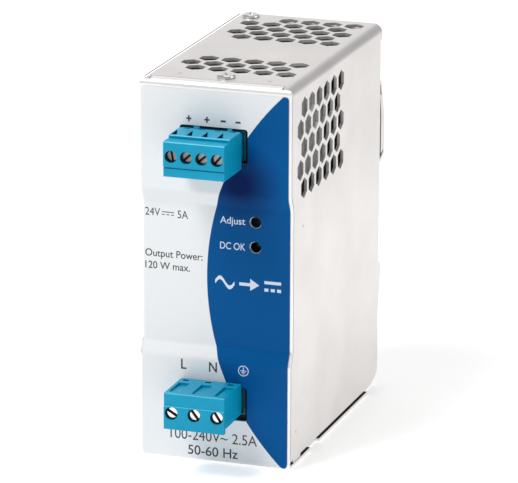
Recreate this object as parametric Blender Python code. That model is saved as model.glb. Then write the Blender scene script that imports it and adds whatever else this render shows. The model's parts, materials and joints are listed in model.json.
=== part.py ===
"""DIN rail power supply, 24 V 5 A class: sheet-metal case, pluggable terminals, rail clip and electronics.

Run with: blender --background --python part.py
Every number is in millimetres in the case frame: x to the right, y from the front panel to the rail, z up from
the floor plate. One empty carries the whole case frame so that the world origin is the centre of the rail seat.
"""

import math

import bmesh
import bpy
from mathutils import Matrix, Vector

MM = 0.001

# ---- case -------------------------------------------------------------------------------------------------
CASE_W = 50.0
CASE_H = 123.6
SHEET = 1.0
COVER_BACK = 95.2
GAP = 0.3
COVER_BEND = 2.5  # mid-sheet radius of the two long bends beside the top
COVER_FOOT = 2.3  # the side walls stop this far above the floor
CHASSIS_BACK = 94.0
CASE_D_END = COVER_BACK + 2.0  # cutters run this far back
COVER_SCREWS = [(0.8, 8.6), (-19.0, 90.5)]

# ---- front panel ------------------------------------------------------------------------------------------
PANEL_FLANGE = 3.5
RECESS = 2.0
UPPER_SLOPE = (88.4, 84.1)
LOWER_SLOPE = (37.8, 34.0)
SLOT_X = (-11.5, 10.9)
OUTPUT_SLOT_Z = (98.5, 109.7)
INPUT_SLOT_Z = (14.7, 25.9)
ADJUST_X = 12.8
ADJUST_Z = 79.5
LED_Z = 71.4
PEEP_RADIUS = 1.8
LABEL_THICKNESS = 0.25
LABEL_GAP = 0.1
LABEL_X = (-24.2, 24.2)
LABEL_Z = (0.7, 121.0)

# ---- vents ------------------------------------------------------------------------------------------------
VENT_PITCH = 7.5
VENT_ROW = VENT_PITCH * math.sqrt(3) / 2
VENT_FLAT = 5.9
VENT_X = -12.7
VENT_STAGGER = VENT_PITCH / 2
TOP_FRONT_Y = 18.0
TOP_BACK_Y = 62.6
SIDE_FIRST_Y = 13.2
SIDE_TOP_Z = 115.0

# ---- rail clip --------------------------------------------------------------------------------------------
RAIL_Z = 58.7  # height of the rail's centre line
BRACKET_SHEET = 1.2
SEAT_Y = COVER_BACK + 0.2 + BRACKET_SHEET
BRACKET_X = 23.5
BRACKET_SCREWS = {"left": (-15.0, 98.0), "right": (15.0, 98.0)}
HOOK_DEPTH = 103.6
HOOK_TIP_Z = 75.3
RAIL_GROOVES = (43.4, 74.4)  # rolled lines that bound the land the rail lies on
GROOVE = 0.3
LATCH_X = 22.5
LATCH_DEPTH = 104.3
LATCH_Z = (15.2, 42.1)
LATCH_WALL = 1.2
SPRING_Z = (24.0, 37.6)

# ---- terminals --------------------------------------------------------------------------------------------
PLUG_CENTRE_X = -0.8
PLUG_W = 20.0
PLUG_FRONT = -17.5
SHOULDER_Y = -1.0
NOSE_END = 8.5
OUTPUT_PIN_Z = 104.0
INPUT_PIN_Z = 20.4
OUTPUT_POLES = [PLUG_CENTRE_X + 5.0 * (i - 1.5) for i in range(4)]
INPUT_POLES = [PLUG_CENTRE_X + 7.5 * (i - 1.0) for i in range(3)]
SCREW_DROP = -0.3  # the screw axis lies this far from the pin axis, away from the wire side
BAR_Y = (-10.8, -10.1)
FRONT_BOARD_Y = (12.2, 13.8)

# ---- main board -------------------------------------------------------------------------------------------
PLATE_X = (-22.8, -21.8)
BOARD_X = (-18.6, -17.0)
BOARD_Y = (15.8, 90.0)
BOARD_Z = (5.0, 119.0)
PART_BASE = BOARD_X[1] + GAP
BOARD_HOLES = [(20.0, 56.0), (86.0, 56.0), (20.0, 115.0), (86.0, 115.0)]

FINISHES = {
    "steel": ((0.78, 0.76, 0.75), 1.0, 0.32),
    "zinc": ((0.72, 0.72, 0.72), 1.0, 0.25),
    "film": ((0.02, 0.12, 0.33), 0.0, 0.35),
    "teal": ((0.00, 0.27, 0.45), 0.0, 0.40),
    "board": ((0.03, 0.18, 0.08), 0.0, 0.45),
    "insulator": ((0.85, 0.85, 0.80), 0.0, 0.40),
    "copper": ((0.72, 0.35, 0.18), 1.0, 0.35),
    "aluminium": ((0.60, 0.61, 0.62), 1.0, 0.40),
    "ferrite": ((0.06, 0.06, 0.065), 0.0, 0.60),
    "black": ((0.02, 0.02, 0.02), 0.0, 0.50),
    "yellow": ((0.75, 0.55, 0.05), 0.0, 0.50),
    "blue": ((0.03, 0.10, 0.30), 0.0, 0.40),
    "sleeve": ((0.04, 0.05, 0.09), 0.0, 0.35),
    "ceramic": ((0.80, 0.78, 0.72), 0.0, 0.30),
    "green_lens": ((0.10, 0.45, 0.12), 0.0, 0.20),
}


# ---- scene and materials ----------------------------------------------------------------------------------
def clear_scene():
    for old in list(bpy.data.objects):
        bpy.data.objects.remove(old, do_unlink=True)


def material(name):
    """A Principled material for one finish, made once."""
    made = bpy.data.materials.get(name)
    if made is None:
        colour, metallic, roughness = FINISHES[name]
        made = bpy.data.materials.new(name)
        made.use_nodes = True
        shader = made.node_tree.nodes["Principled BSDF"]
        shader.inputs["Base Color"].default_value = (*colour, 1.0)
        shader.inputs["Metallic"].default_value = metallic
        shader.inputs["Roughness"].default_value = roughness
    return made


def add_piece(name, bm, finish, origin=(0, 0, 0), smooth=False):
    """Turns a bmesh in case millimetres into a named object whose own origin is the case point `origin`."""
    bmesh.ops.recalc_face_normals(bm, faces=bm.faces)
    to_local = Matrix.Scale(MM, 4) @ Matrix.Translation(-Vector(origin))
    bmesh.ops.transform(bm, verts=bm.verts, matrix=to_local)
    mesh = bpy.data.meshes.new(name)
    bm.to_mesh(mesh)
    bm.free()
    mesh.materials.append(material(finish))
    if smooth:
        mesh.shade_smooth()
        mesh.set_sharp_from_angle(angle=math.radians(35))
    piece = bpy.data.objects.new(name, mesh)
    bpy.context.scene.collection.objects.link(piece)
    piece.parent = bpy.data.objects["case_frame"]
    piece.location = Vector(origin) * MM
    return piece


def shape_with(piece, bm, operation="DIFFERENCE"):
    """Cuts `bm` out of the piece, or joins it on, with a Boolean modifier and a hidden tool object."""
    number = len(piece.modifiers) + 1
    tool = add_piece(f"{piece.name}_tool_{number}", bm, "steel")
    tool.hide_render = True
    tool.display_type = "WIRE"
    boolean = piece.modifiers.new(f"{operation.lower()}_{number}", "BOOLEAN")
    boolean.operation = operation
    boolean.solver = "EXACT"
    boolean.object = tool


# ---- shapes -----------------------------------------------------------------------------------------------
def add_box(bm, x, y, z):
    """A box between the (low, high) pairs x, y and z."""
    pairs = (x, y, z)
    centre = Vector([(low + high) / 2 for low, high in pairs])
    size = Vector([high - low for low, high in pairs])
    bmesh.ops.create_cube(bm, size=1.0, matrix=Matrix.Translation(centre) @ Matrix.Diagonal(size).to_4x4())


def along(axis, point):
    """The matrix that stands local Z along the case axis, at `point`."""
    turn = {
        "x": Matrix.Rotation(math.radians(90), 4, "Y"),
        "y": Matrix.Rotation(math.radians(-90), 4, "X"),
        "z": Matrix.Identity(4),
    }[axis]
    return Matrix.Translation(Vector(point)) @ turn


def add_rod(bm, axis, point, radius, length, segments=16):
    """A cylinder from `point` along the axis."""
    lift = Matrix.Translation((0, 0, length / 2))
    bmesh.ops.create_cone(
        bm, cap_ends=True, segments=segments, radius1=radius, radius2=radius, depth=length,
        matrix=along(axis, point) @ lift,
    )


def add_turned(bm, axis, point, profile, segments=12):
    """A turned solid: `profile` lists (radius, distance along the axis), starting and ending on the axis."""
    made = [bm.verts.new((radius, 0, distance)) for radius, distance in profile]
    edges = [bm.edges.new(pair) for pair in zip(made, made[1:])]
    spun = bmesh.ops.spin(
        bm, geom=made + edges, axis=(0, 0, 1), cent=(0, 0, 0), angle=math.tau, steps=segments,
        use_merge=True, use_duplicate=False,
    )
    verts = {v for v in spun["geom_last"] if isinstance(v, bmesh.types.BMVert)} | set(made)
    faces = {f for v in verts for f in v.link_faces}
    island = connected_verts(faces | verts)
    bmesh.ops.remove_doubles(bm, verts=island, dist=1e-4)
    island = [v for v in island if v.is_valid]
    bmesh.ops.transform(bm, verts=island, matrix=along(axis, point))


def connected_verts(seeds):
    """Every vertex of the mesh island that the seeds belong to."""
    found = {v for s in seeds for v in ([s] if isinstance(s, bmesh.types.BMVert) else s.verts)}
    waiting = list(found)
    while waiting:
        for edge in waiting.pop().link_edges:
            for v in edge.verts:
                if v not in found:
                    found.add(v)
                    waiting.append(v)
    return list(found)


def add_prism(bm, outline, axis, low, high):
    """Extrudes a closed outline along the axis. Outline pairs are (y, z), (x, z) or (x, y) for axis x, y, z."""
    place = {
        "x": lambda a, b: (low, a, b),
        "y": lambda a, b: (a, low, b),
        "z": lambda a, b: (a, b, low),
    }[axis]
    face = bm.faces.new([bm.verts.new(place(a, b)) for a, b in outline])
    grown = bmesh.ops.extrude_face_region(bm, geom=[face])
    step = {"x": (1, 0, 0), "y": (0, 1, 0), "z": (0, 0, 1)}[axis]
    top = [v for v in grown["geom"] if isinstance(v, bmesh.types.BMVert)]
    bmesh.ops.translate(bm, verts=top, vec=Vector(step) * (high - low))


def rounded_rect(a, b, radius, steps=3):
    """Outline of a rectangle between the pairs a and b with round corners."""
    corners = [(a[1], b[1], 0), (a[0], b[1], 90), (a[0], b[0], 180), (a[1], b[0], 270)]
    points = []
    for corner_a, corner_b, start in corners:
        centre_a = corner_a - math.copysign(radius, corner_a - (a[0] + a[1]) / 2)
        centre_b = corner_b - math.copysign(radius, corner_b - (b[0] + b[1]) / 2)
        for i in range(steps + 1):
            angle = math.radians(start + 90 * i / steps)
            points.append((centre_a + radius * math.cos(angle), centre_b + radius * math.sin(angle)))
    return points


def fillet(points, radii, steps=4):
    """An open path with each inner corner replaced by an arc of the matching radius."""
    path = [Vector(points[0])]
    for before, corner, after, radius in zip(points, points[1:], points[2:], radii):
        corner = Vector(corner)
        arrive = (corner - Vector(before)).normalized()
        leave = (Vector(after) - corner).normalized()
        turn = arrive.angle_signed(leave)
        setback = radius * math.tan(abs(turn) / 2)
        start = corner - arrive * setback
        side = Vector((arrive.y, -arrive.x)) * math.copysign(1, turn)
        centre = start + side * radius
        for i in range(steps + 1):
            spoke = (start - centre).copy()
            spoke.rotate(Matrix.Rotation(-turn * i / steps, 2))
            path.append(centre + spoke)
    path.append(Vector(points[-1]))
    return path


def offset_path(path, distance):
    """The path moved sideways by `distance`, to the left of its direction, with mitred corners."""
    moved = []
    for i, point in enumerate(path):
        normals = []
        for a, b in ((i - 1, i), (i, i + 1)):
            if a >= 0 and b < len(path):
                run = (path[b] - path[a]).normalized()
                normals.append(Vector((-run.y, run.x)))
        normal = sum(normals, Vector((0, 0))).normalized()
        moved.append(point + normal * distance / normal.dot(normals[0]))
    return moved


def strip_outline(path, thickness):
    """The closed outline of a bent sheet whose middle line is the path."""
    return offset_path(path, thickness / 2) + offset_path(path, -thickness / 2)[::-1]


def hexagon(a, b):
    """Outline of one vent: flats across the first direction, points along the second."""
    radius = VENT_FLAT / 2 / math.cos(math.radians(30))
    angles = [math.radians(90 + 60 * i) for i in range(6)]
    return [(a + radius * math.cos(t), b + radius * math.sin(t)) for t in angles]


# ---- case -------------------------------------------------------------------------------------------------
def floor_and_top_rows():
    """(x of the first vent, y, count) of each row of vents in the top, and in the floor below it."""
    groups = [(TOP_FRONT_Y, [5, 5, 5]), (TOP_BACK_Y, [5, 5, 5, 5, 4])]
    rows = []
    for first_y, counts in groups:
        for i, count in enumerate(counts):
            start = VENT_X - (VENT_STAGGER if i % 2 else 0) + (VENT_PITCH if count == 4 else 0)
            rows.append((start, first_y + VENT_ROW * i, count))
    return rows


def add_flat_vents(bm, z):
    for first_x, y, count in floor_and_top_rows():
        for i in range(count):
            add_prism(bm, hexagon(first_x + VENT_PITCH * i, y), "z", *z)


def add_side_vents(bm, x):
    for row in range(5):
        first_y = SIDE_FIRST_Y - (VENT_STAGGER if row % 2 else 0)
        for i in range(6):
            outline = hexagon(first_y + VENT_PITCH * i, SIDE_TOP_Z - VENT_ROW * row)
            add_prism(bm, outline, "x", *x)


def cover_surface():
    """The cover's middle surface: side, top and side in one bent strip, with a flange behind each side."""
    half = SHEET / 2
    side = CASE_W / 2 - half
    top = CASE_H - half
    flange_z = (8.0, 118.0)
    bend = 1.5
    corners = [(-side, 1.3), (-side, top), (side, top), (side, 1.3)]
    path = fillet(corners, [COVER_BEND, COVER_BEND], steps=5)
    path[1:1] = [Vector((-side, z)) for z in flange_z]
    path[-1:-1] = [Vector((side, z)) for z in flange_z[::-1]]
    front, bend_start = SHEET + GAP / 2, COVER_BACK - half - bend
    bm = bmesh.new()
    verts = [bm.verts.new((p.x, front, p.y)) for p in path]
    edges = [bm.edges.new(pair) for pair in zip(verts, verts[1:])]
    swept = bmesh.ops.extrude_edge_only(bm, edges=edges)
    new = [v for v in swept["geom"] if isinstance(v, bmesh.types.BMVert)]
    bmesh.ops.translate(bm, verts=new, vec=(0, bend_start - front, 0))
    back = [e for e in bm.edges if all(abs(v.co.y - bend_start) < 1e-4 for v in e.verts)]
    for sign in (-1, 1):
        wall = [e for e in back if all(v.co.x * sign > side - 0.01 for v in e.verts)
                and abs(e.calc_length() - (flange_z[1] - flange_z[0])) < 0.01]
        spun = bmesh.ops.spin(
            bm, geom=wall + list(wall[0].verts), axis=(0, 0, 1), cent=(sign * (side - bend), bend_start, 0),
            angle=sign * math.radians(90), steps=3, use_duplicate=False,
        )
        edge = [e for e in spun["geom_last"] if isinstance(e, bmesh.types.BMEdge)]
        flange = bmesh.ops.extrude_edge_only(bm, edges=edge)
        tip = [v for v in flange["geom"] if isinstance(v, bmesh.types.BMVert)]
        bmesh.ops.translate(bm, verts=tip, vec=(-sign * 5.0, 0, 0))
    lid = [e for e in back if all(v.co.z > flange_z[1] - 0.01 for v in e.verts)]
    shelf = bmesh.ops.extrude_edge_only(bm, edges=lid)
    rear = [v for v in shelf["geom"] if isinstance(v, bmesh.types.BMVert)]
    bmesh.ops.translate(bm, verts=rear, vec=(0, COVER_BACK - bend_start, 0))
    return bm


def housing_cover():
    cover = add_piece("housing_cover", cover_surface(), "steel", smooth=True)
    wall = cover.modifiers.new("sheet", "SOLIDIFY")
    wall.thickness = SHEET * MM
    wall.offset = 0
    wall.use_even_offset = True

    cuts = bmesh.new()
    add_flat_vents(cuts, (CASE_H - 2 * SHEET, CASE_H + SHEET))
    add_side_vents(cuts, (CASE_W / 2 - 2 * SHEET, CASE_W / 2 + SHEET))
    add_side_vents(cuts, (-CASE_W / 2 - SHEET, -CASE_W / 2 + 2 * SHEET))
    lip = PANEL_FLANGE + GAP
    corner = CASE_W / 2 - COVER_BEND - SHEET / 2
    add_box(cuts, (-corner, corner), (0, lip), (CASE_H - 2 * SHEET, CASE_H + SHEET))
    for front, back in ((-1.0, 4.0), (11.0, CASE_D_END)):
        add_box(cuts, (-CASE_W, CASE_W), (front, back), (-1.0, COVER_FOOT))
    for x, y in COVER_SCREWS:
        add_rod(cuts, "z", (x, y, CASE_H - 2 * SHEET), 1.7, 3 * SHEET, 12)
    shape_with(cover, cuts)

    front = fillet(panel_corners(CASE_H + 5.0, -5.0), [3.0] * 4, steps=3)
    clear = offset_path(front, SHEET / 2 + GAP)
    step = bmesh.new()
    add_prism(step, clear + [(-5.0, -5.0), (-5.0, CASE_H + 5.0)], "x", -CASE_W, CASE_W)
    shape_with(cover, step)

    heel = bmesh.new()
    slope = [(84.0, 0.0), (84.0, COVER_FOOT - 0.1), (88.0, 2.9), (91.5, 4.0), (94.5, 6.0), (97.0, 9.0), (97.0, 0.0)]
    add_prism(heel, slope, "x", -CASE_W, CASE_W)
    shape_with(cover, heel)


def panel_corners(top, bottom):
    """Middle line of the stepped front panel from its top to its bottom, as (y, z)."""
    near = SHEET / 2
    far = near + RECESS
    return [(near, top), (near, UPPER_SLOPE[0]), (far, UPPER_SLOPE[1]),
            (far, LOWER_SLOPE[0]), (near, LOWER_SLOPE[1]), (near, bottom)]


def chassis():
    """Front panel, floor and back of the case: one sheet bent into a C."""
    half = SHEET / 2
    top, back = CASE_H - half, CHASSIS_BACK - half
    corners = [(PANEL_FLANGE, top), *panel_corners(top, half), (back, half), (back, CASE_H - 4.0)]
    path = fillet(corners, [1.5, 3.0, 3.0, 3.0, 3.0, 1.0, 2.0], steps=3)
    bm = bmesh.new()
    add_prism(bm, strip_outline(path, SHEET), "x", -CASE_W / 2, CASE_W / 2)
    piece = add_piece("chassis", bm, "steel", smooth=True)

    cuts = bmesh.new()
    inner = CASE_W / 2 - SHEET - GAP
    rear_inner = inner - 0.5
    outer = CASE_W / 2 + 1.0
    flange_x = CASE_W / 2 - COVER_BEND - SHEET / 2 - GAP
    for sign in (-1, 1):
        add_box(cuts, sorted((sign * rear_inner, sign * outer)), (82.5, 96.0), (-1.0, CASE_H + 1.0))
        add_box(cuts, sorted((sign * inner, sign * outer)), (21.3, 30.6), (-1.0, 2.0))
        add_box(cuts, sorted((sign * flange_x, sign * outer)), (SHEET, 6.0), (CASE_H - 2.0, CASE_H + 1.0))
    add_flat_vents(cuts, (-1.0, 2.0))
    add_prism(cuts, rounded_rect(SLOT_X, OUTPUT_SLOT_Z, 1.0), "y", -2.0, 3.0)
    add_prism(cuts, rounded_rect(SLOT_X, INPUT_SLOT_Z, 1.0), "y", -2.0, 3.0)
    for z in (ADJUST_Z, LED_Z):
        add_rod(cuts, "y", (ADJUST_X, -2.0, z), PEEP_RADIUS, 8.0, 16)
    for x, z in BRACKET_SCREWS.values():
        add_rod(cuts, "y", (x, CHASSIS_BACK - 3.0, z), 1.8, 5.0, 12)
    shape_with(piece, cuts)


def front_label():
    """The printed film that follows the stepped panel."""
    path = fillet(panel_corners(LABEL_Z[1], LABEL_Z[0]), [3.0] * 4, steps=3)
    clear = SHEET / 2 + LABEL_GAP + LABEL_THICKNESS / 2
    bm = bmesh.new()
    outline = strip_outline(offset_path(path, -clear), LABEL_THICKNESS)
    add_prism(bm, outline, "x", *LABEL_X)
    label = add_piece("front_label", bm, "film", smooth=True)
    cuts = bmesh.new()
    for slot in (OUTPUT_SLOT_Z, INPUT_SLOT_Z):
        add_prism(cuts, rounded_rect(SLOT_X, slot, 1.0), "y", -3.0, 4.0)
    for z in (ADJUST_Z, LED_Z):
        add_rod(cuts, "y", (ADJUST_X, -3.0, z), PEEP_RADIUS, 8.0, 16)
    shape_with(label, cuts)


def cover_screws():
    """Flat-topped cross-head screws that hold the cover's top; their shafts end free inside the case."""
    for name, (x, y) in zip(("front", "rear"), COVER_SCREWS):
        bm = bmesh.new()
        profile = [(0, 0), (1.4, 0), (1.4, 4.0), (2.9, 4.0), (2.6, 4.9), (0, 4.9)]
        add_turned(bm, "z", (x, y, CASE_H + 0.2 - 4.0), profile)
        screw = add_piece(f"cover_screw_{name}", bm, "zinc", smooth=True)
        recess = bmesh.new()
        cross = [(x + a, y + b) for a, b in cross_outline(1.7, 0.35)]
        add_prism(recess, cross, "z", CASE_H + 0.5, CASE_H + 2.0)
        shape_with(screw, recess)


def cross_outline(reach, half_width):
    """Outline of a plus sign: the recess of a cross-head screw."""
    corner = [(reach, -half_width), (reach, half_width), (half_width, half_width)]
    points = []
    for _ in range(4):
        points.extend(corner)
        corner = [(-b, a) for a, b in corner]
    return points


# ---- rail clip --------------------------------------------------------------------------------------------
def rail_bracket():
    """Seat plate of the rail clip; its top edge folds over into the fixed hook."""
    half = BRACKET_SHEET / 2
    seat = SEAT_Y - half
    corners = [(seat, 12.0), (seat, 103.0), (seat + 3.4, 103.0), (HOOK_DEPTH - half, 90.0),
               (HOOK_DEPTH - half, 78.0), (SEAT_Y + 1.6, HOOK_TIP_Z + 0.6)]
    path = fillet(corners, [1.2, 1.2, 6.0, 1.6], steps=3)
    bm = bmesh.new()
    add_prism(bm, strip_outline(path, BRACKET_SHEET), "x", -BRACKET_X, BRACKET_X)
    bracket = add_piece("rail_bracket", bm, "steel", smooth=True)
    for sign in (-1, 1):
        gusset = bmesh.new()
        outline = [(HOOK_DEPTH - 0.6, 88.5), (HOOK_DEPTH - 0.6, 79.5), (HOOK_DEPTH - 3.6, 78.5),
                   (HOOK_DEPTH - 3.6, 92.0), (HOOK_DEPTH - 5.0, 99.0), (HOOK_DEPTH - 3.3, 98.0)]
        add_prism(gusset, outline, "x", *sorted((sign * (BRACKET_X - 1.0), sign * (BRACKET_X - 0.0005))))
        shape_with(bracket, gusset, "UNION")
    latch_guides(bracket)
    cuts = bmesh.new()
    for x, z in BRACKET_SCREWS.values():
        add_rod(cuts, "y", (x, SEAT_Y - 3.0, z), 1.8, 4.0, 12)
        add_rod(cuts, "y", (x, SEAT_Y + 0.5, z), 3.2, 9.0, 12)
    for z in RAIL_GROOVES:
        across = (-BRACKET_X - 1.0, BRACKET_X + 1.0)
        add_box(cuts, across, (SEAT_Y - GROOVE, SEAT_Y + 1.0), (z - GROOVE / 2, z + GROOVE / 2))
    shape_with(bracket, cuts)
    modifier_reads_itself(bracket)


def bracket_screws():
    """Screws through the seat plate and the case back, heads towards the rail."""
    length = SEAT_Y - (CHASSIS_BACK - SHEET) + 2.0
    for side, (x, z) in BRACKET_SCREWS.items():
        bm = bmesh.new()
        profile = [(0, 0), (1.5, 0), (1.5, length), (2.8, length), (2.8, length + 0.7), (2.0, length + 1.2),
                   (0, length + 1.2)]
        add_turned(bm, "y", (x, SEAT_Y + 0.1 - length, z), profile)
        add_piece(f"bracket_screw_{side}", bm, "zinc", smooth=True)


def latch_guides(bracket):
    """Two L-shaped rails bent out of the seat plate to hold the latch, and the lug that carries its spring."""
    root = SEAT_Y - BRACKET_SHEET / 2
    for sign in (-1, 1):
        foot, lip, edge = sign * 15.0, sign * 16.2, sign * 19.4
        outline = [(foot, root), (lip, root), (lip, SEAT_Y + 1.9), (edge, SEAT_Y + 1.9),
                   (edge, SEAT_Y + 2.9), (foot, SEAT_Y + 2.9)]
        rail = bmesh.new()
        add_prism(rail, outline, "z", 25.0, 34.0)
        shape_with(bracket, rail, "UNION")
    lug = bmesh.new()
    add_box(lug, (-3.0, 3.0), (root, SEAT_Y + 3.0), (SPRING_Z[0] - 1.3, SPRING_Z[0] - 0.1))
    shape_with(bracket, lug, "UNION")


def rail_latch():
    """Sprung wedge below the rail: pulled down to free the rail, pushed up by its spring."""
    low, high = LATCH_Z
    near = SEAT_Y + 0.3
    outer = [(near, low), (near + 3.0, low), (LATCH_DEPTH, high - 4.0), (LATCH_DEPTH, high - 2.6),
             (SEAT_Y + 1.6, high), (SEAT_Y + 1.6, high - 1.2), (near, high - 1.2)]
    inner = [(near - 2.0, low + 1.2), (near + 1.8, low + 1.2), (LATCH_DEPTH - 1.3, high - 5.6),
             (LATCH_DEPTH - 1.3, high - 4.6), (near - 2.0, high - 3.2)]
    bm = bmesh.new()
    add_prism(bm, outer, "x", -LATCH_X, LATCH_X)
    latch = add_piece("rail_latch", bm, "steel", origin=(0, SEAT_Y, low))
    hollow = bmesh.new()
    add_prism(hollow, inner, "x", -LATCH_X + LATCH_WALL, LATCH_X - LATCH_WALL)
    shape_with(latch, hollow)
    for sign in (-1, 1):
        runner = bmesh.new()
        add_box(runner, sorted((sign * 17.2, sign * (LATCH_X - 0.5))), (near + 0.1, near + 1.2), (18.0, 38.4))
        shape_with(latch, runner, "UNION")
    stop = bmesh.new()
    add_box(stop, (-4.0, 4.0), (near + 0.2, near + 5.0), (SPRING_Z[1] + 0.1, SPRING_Z[1] + 1.6))
    shape_with(latch, stop, "UNION")
    slot = bmesh.new()
    add_box(slot, (-3.2, 3.2), (SEAT_Y - 1.0, LATCH_DEPTH), (low + 1.9, low + 3.3))
    shape_with(latch, slot)


def latch_spring():
    """Compression spring behind the latch, wound as a curve with a round section."""
    low, high = SPRING_Z
    turns, per_turn, radius, wire = 5, 10, 1.15, 0.22
    curve = bpy.data.curves.new("latch_spring", "CURVE")
    curve.dimensions = "3D"
    curve.bevel_depth = wire * MM
    curve.bevel_resolution = 1
    curve.use_fill_caps = True
    spline = curve.splines.new("POLY")
    count = turns * per_turn
    spline.points.add(count)
    for i, point in enumerate(spline.points):
        angle = math.tau * i / per_turn
        height = wire + (high - low - 2 * wire) * i / count
        point.co = (radius * math.cos(angle) * MM, radius * math.sin(angle) * MM, height * MM, 1)
    curve.materials.append(material("zinc"))
    spring = bpy.data.objects.new("latch_spring", curve)
    bpy.context.scene.collection.objects.link(spring)
    spring.parent = bpy.data.objects["case_frame"]
    spring.location = Vector((0, SEAT_Y + 1.75, low)) * MM


# ---- terminals --------------------------------------------------------------------------------------------
def plug_outline(kind):
    """Side outline of a plug as (y, w): w is the height from the pins, positive towards the wire side."""
    front, back = PLUG_FRONT, SHOULDER_Y
    if kind == "output":
        wire_side = [(front, 4.4), (-12.4, 4.4), (-12.4, 5.3), (back, 5.3)]
    else:
        wire_side = [(front, 4.9), (front + 1.1, 4.9), (front + 1.1, 3.8), (-9.5, 3.8), (back, 3.1)]
    nose = [(back, wire_nose(kind)), (NOSE_END, wire_nose(kind)), (NOSE_END, -3.9), (back, -3.9)]
    blank_side = [(back, -6.8), (front + 0.4, -6.8), (front + 0.4, -3.0), (front, -3.0)]
    return wire_side + nose + blank_side


def wire_nose(kind):
    return 4.1 if kind == "output" else 3.0


TERMINALS = {
    "output": {"poles": OUTPUT_POLES, "pin_z": OUTPUT_PIN_Z, "wire": 1, "head_y": -16.0,
               "slot_z": OUTPUT_SLOT_Z, "angles": (80, 138, 140, 130)},
    "input": {"poles": INPUT_POLES, "pin_z": INPUT_PIN_Z, "wire": -1, "head_y": -16.8,
              "slot_z": INPUT_SLOT_Z, "angles": (30, 52, 57)},
}
SCREW_HEAD = (1.75, 1.5)
SCREW_SHAFT = (1.15, 9.0)
CAGE_X = (1.75, 1.15)  # outer and inner half widths
CAGE_Y = (-12.0, -11.1, -7.8, -6.9)  # front wall, opening and back wall, clamp open


def plug_body(kind):
    """Moulded plug: stepped body, screw shafts, clamp chambers, wire mouths and contact channels."""
    t = TERMINALS[kind]
    wire, pin_z = t["wire"], t["pin_z"]

    def height(w):
        return pin_z + wire * w

    bm = bmesh.new()
    left, right = PLUG_CENTRE_X - PLUG_W / 2, PLUG_CENTRE_X + PLUG_W / 2
    add_prism(bm, [(y, height(w)) for y, w in plug_outline(kind)], "x", left, right)
    plug = add_piece(f"{kind}_plug", bm, "teal", origin=(PLUG_CENTRE_X, SHOULDER_Y, pin_z))
    nose = bmesh.new()
    for side, edge in ((left, left - 1.0), (right, right + 1.0)):
        inner = side + math.copysign(0.5, PLUG_CENTRE_X - side)
        add_box(nose, sorted((inner, edge)), (SHOULDER_Y, NOSE_END + 1.0), sorted((height(-9), height(9))))
    shape_with(plug, nose)

    cuts = bmesh.new()
    mouth_top = 7.0
    for x in t["poles"]:
        add_rod(cuts, "y", (x, PLUG_FRONT - 1.0, height(SCREW_DROP)), 1.9, 3.0, 16)
        add_rod(cuts, "y", (x, PLUG_FRONT + 1.0, height(SCREW_DROP)), 1.85, 2.1, 16)
        add_rod(cuts, "y", (x, PLUG_FRONT + 2.0, height(SCREW_DROP)), 1.3, 2.0, 12)
        add_box(cuts, (x - 1.9, x + 1.9), (-14.0, -6.5), sorted((height(-4.7), height(2.8))))
        mouth = [(x - 1.7, BAR_Y[1] - 0.2), (x + 1.7, BAR_Y[1] - 0.2), (x + 1.7, -6.9), (x - 1.7, -6.9)]
        add_prism(cuts, mouth, "z", *sorted((height(2.0), height(mouth_top))))
        add_box(cuts, (x - 1.1, x + 1.1), (-7.0, 0.0), sorted((height(-4.7), height(1.6))))
        add_box(cuts, (x - 1.1, x + 1.1), (-0.5, NOSE_END + 1.0), sorted((height(-1.7), height(1.7))))
    shape_with(plug, cuts)
    modifier_reads_itself(plug)


def modifier_reads_itself(piece):
    """Lets the last cut use a tool whose bodies overlap each other."""
    piece.modifiers[-1].use_self = True


def terminal_hardware(kind):
    """One screw and one clamp cage for each pole of a plug."""
    t = TERMINALS[kind]
    screw_z = t["pin_z"] + t["wire"] * SCREW_DROP
    for number, x in enumerate(t["poles"], start=1):
        screw = bmesh.new()
        head, shaft = SCREW_HEAD, SCREW_SHAFT
        length = BAR_Y[0] - 0.2 - t["head_y"]
        profile = [(0, 0), (head[0] - 0.3, 0), (head[0], 0.3), (head[0], head[1]), (shaft[0], head[1]),
                   (shaft[0], length), (0, length)]
        add_turned(screw, "y", (x, t["head_y"], screw_z), profile)
        piece = add_piece(f"{kind}_screw_{number}", screw, "zinc", (x, t["head_y"], screw_z), smooth=True)
        groove = bmesh.new()
        add_box(groove, (-3.0, 3.0), (-1.0, 0.8), (-0.3, 0.3))
        turn = Matrix.Rotation(math.radians(t["angles"][number - 1]), 4, "Y")
        place = Matrix.Translation((x, t["head_y"], screw_z)) @ turn
        bmesh.ops.transform(groove, verts=groove.verts, matrix=place)
        shape_with(piece, groove)

        cage = bmesh.new()
        front, inner_front, inner_back, back = CAGE_Y
        z = (screw_z - 2.2, screw_z + 2.2)
        add_box(cage, (x - CAGE_X[0], x + CAGE_X[0]), (front, back), z)
        loop = add_piece(f"{kind}_cage_{number}", cage, "zinc", (x, front, screw_z))
        window = bmesh.new()
        add_box(window, (x - CAGE_X[1], x + CAGE_X[1]), (inner_front, inner_back), (z[0] - 1.0, z[1] + 1.0))
        shape_with(loop, window)
        thread = bmesh.new()
        add_rod(thread, "y", (x, front - 1.0, screw_z), SCREW_SHAFT[0] + 0.12, 2.2, 12)
        shape_with(loop, thread)


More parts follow.
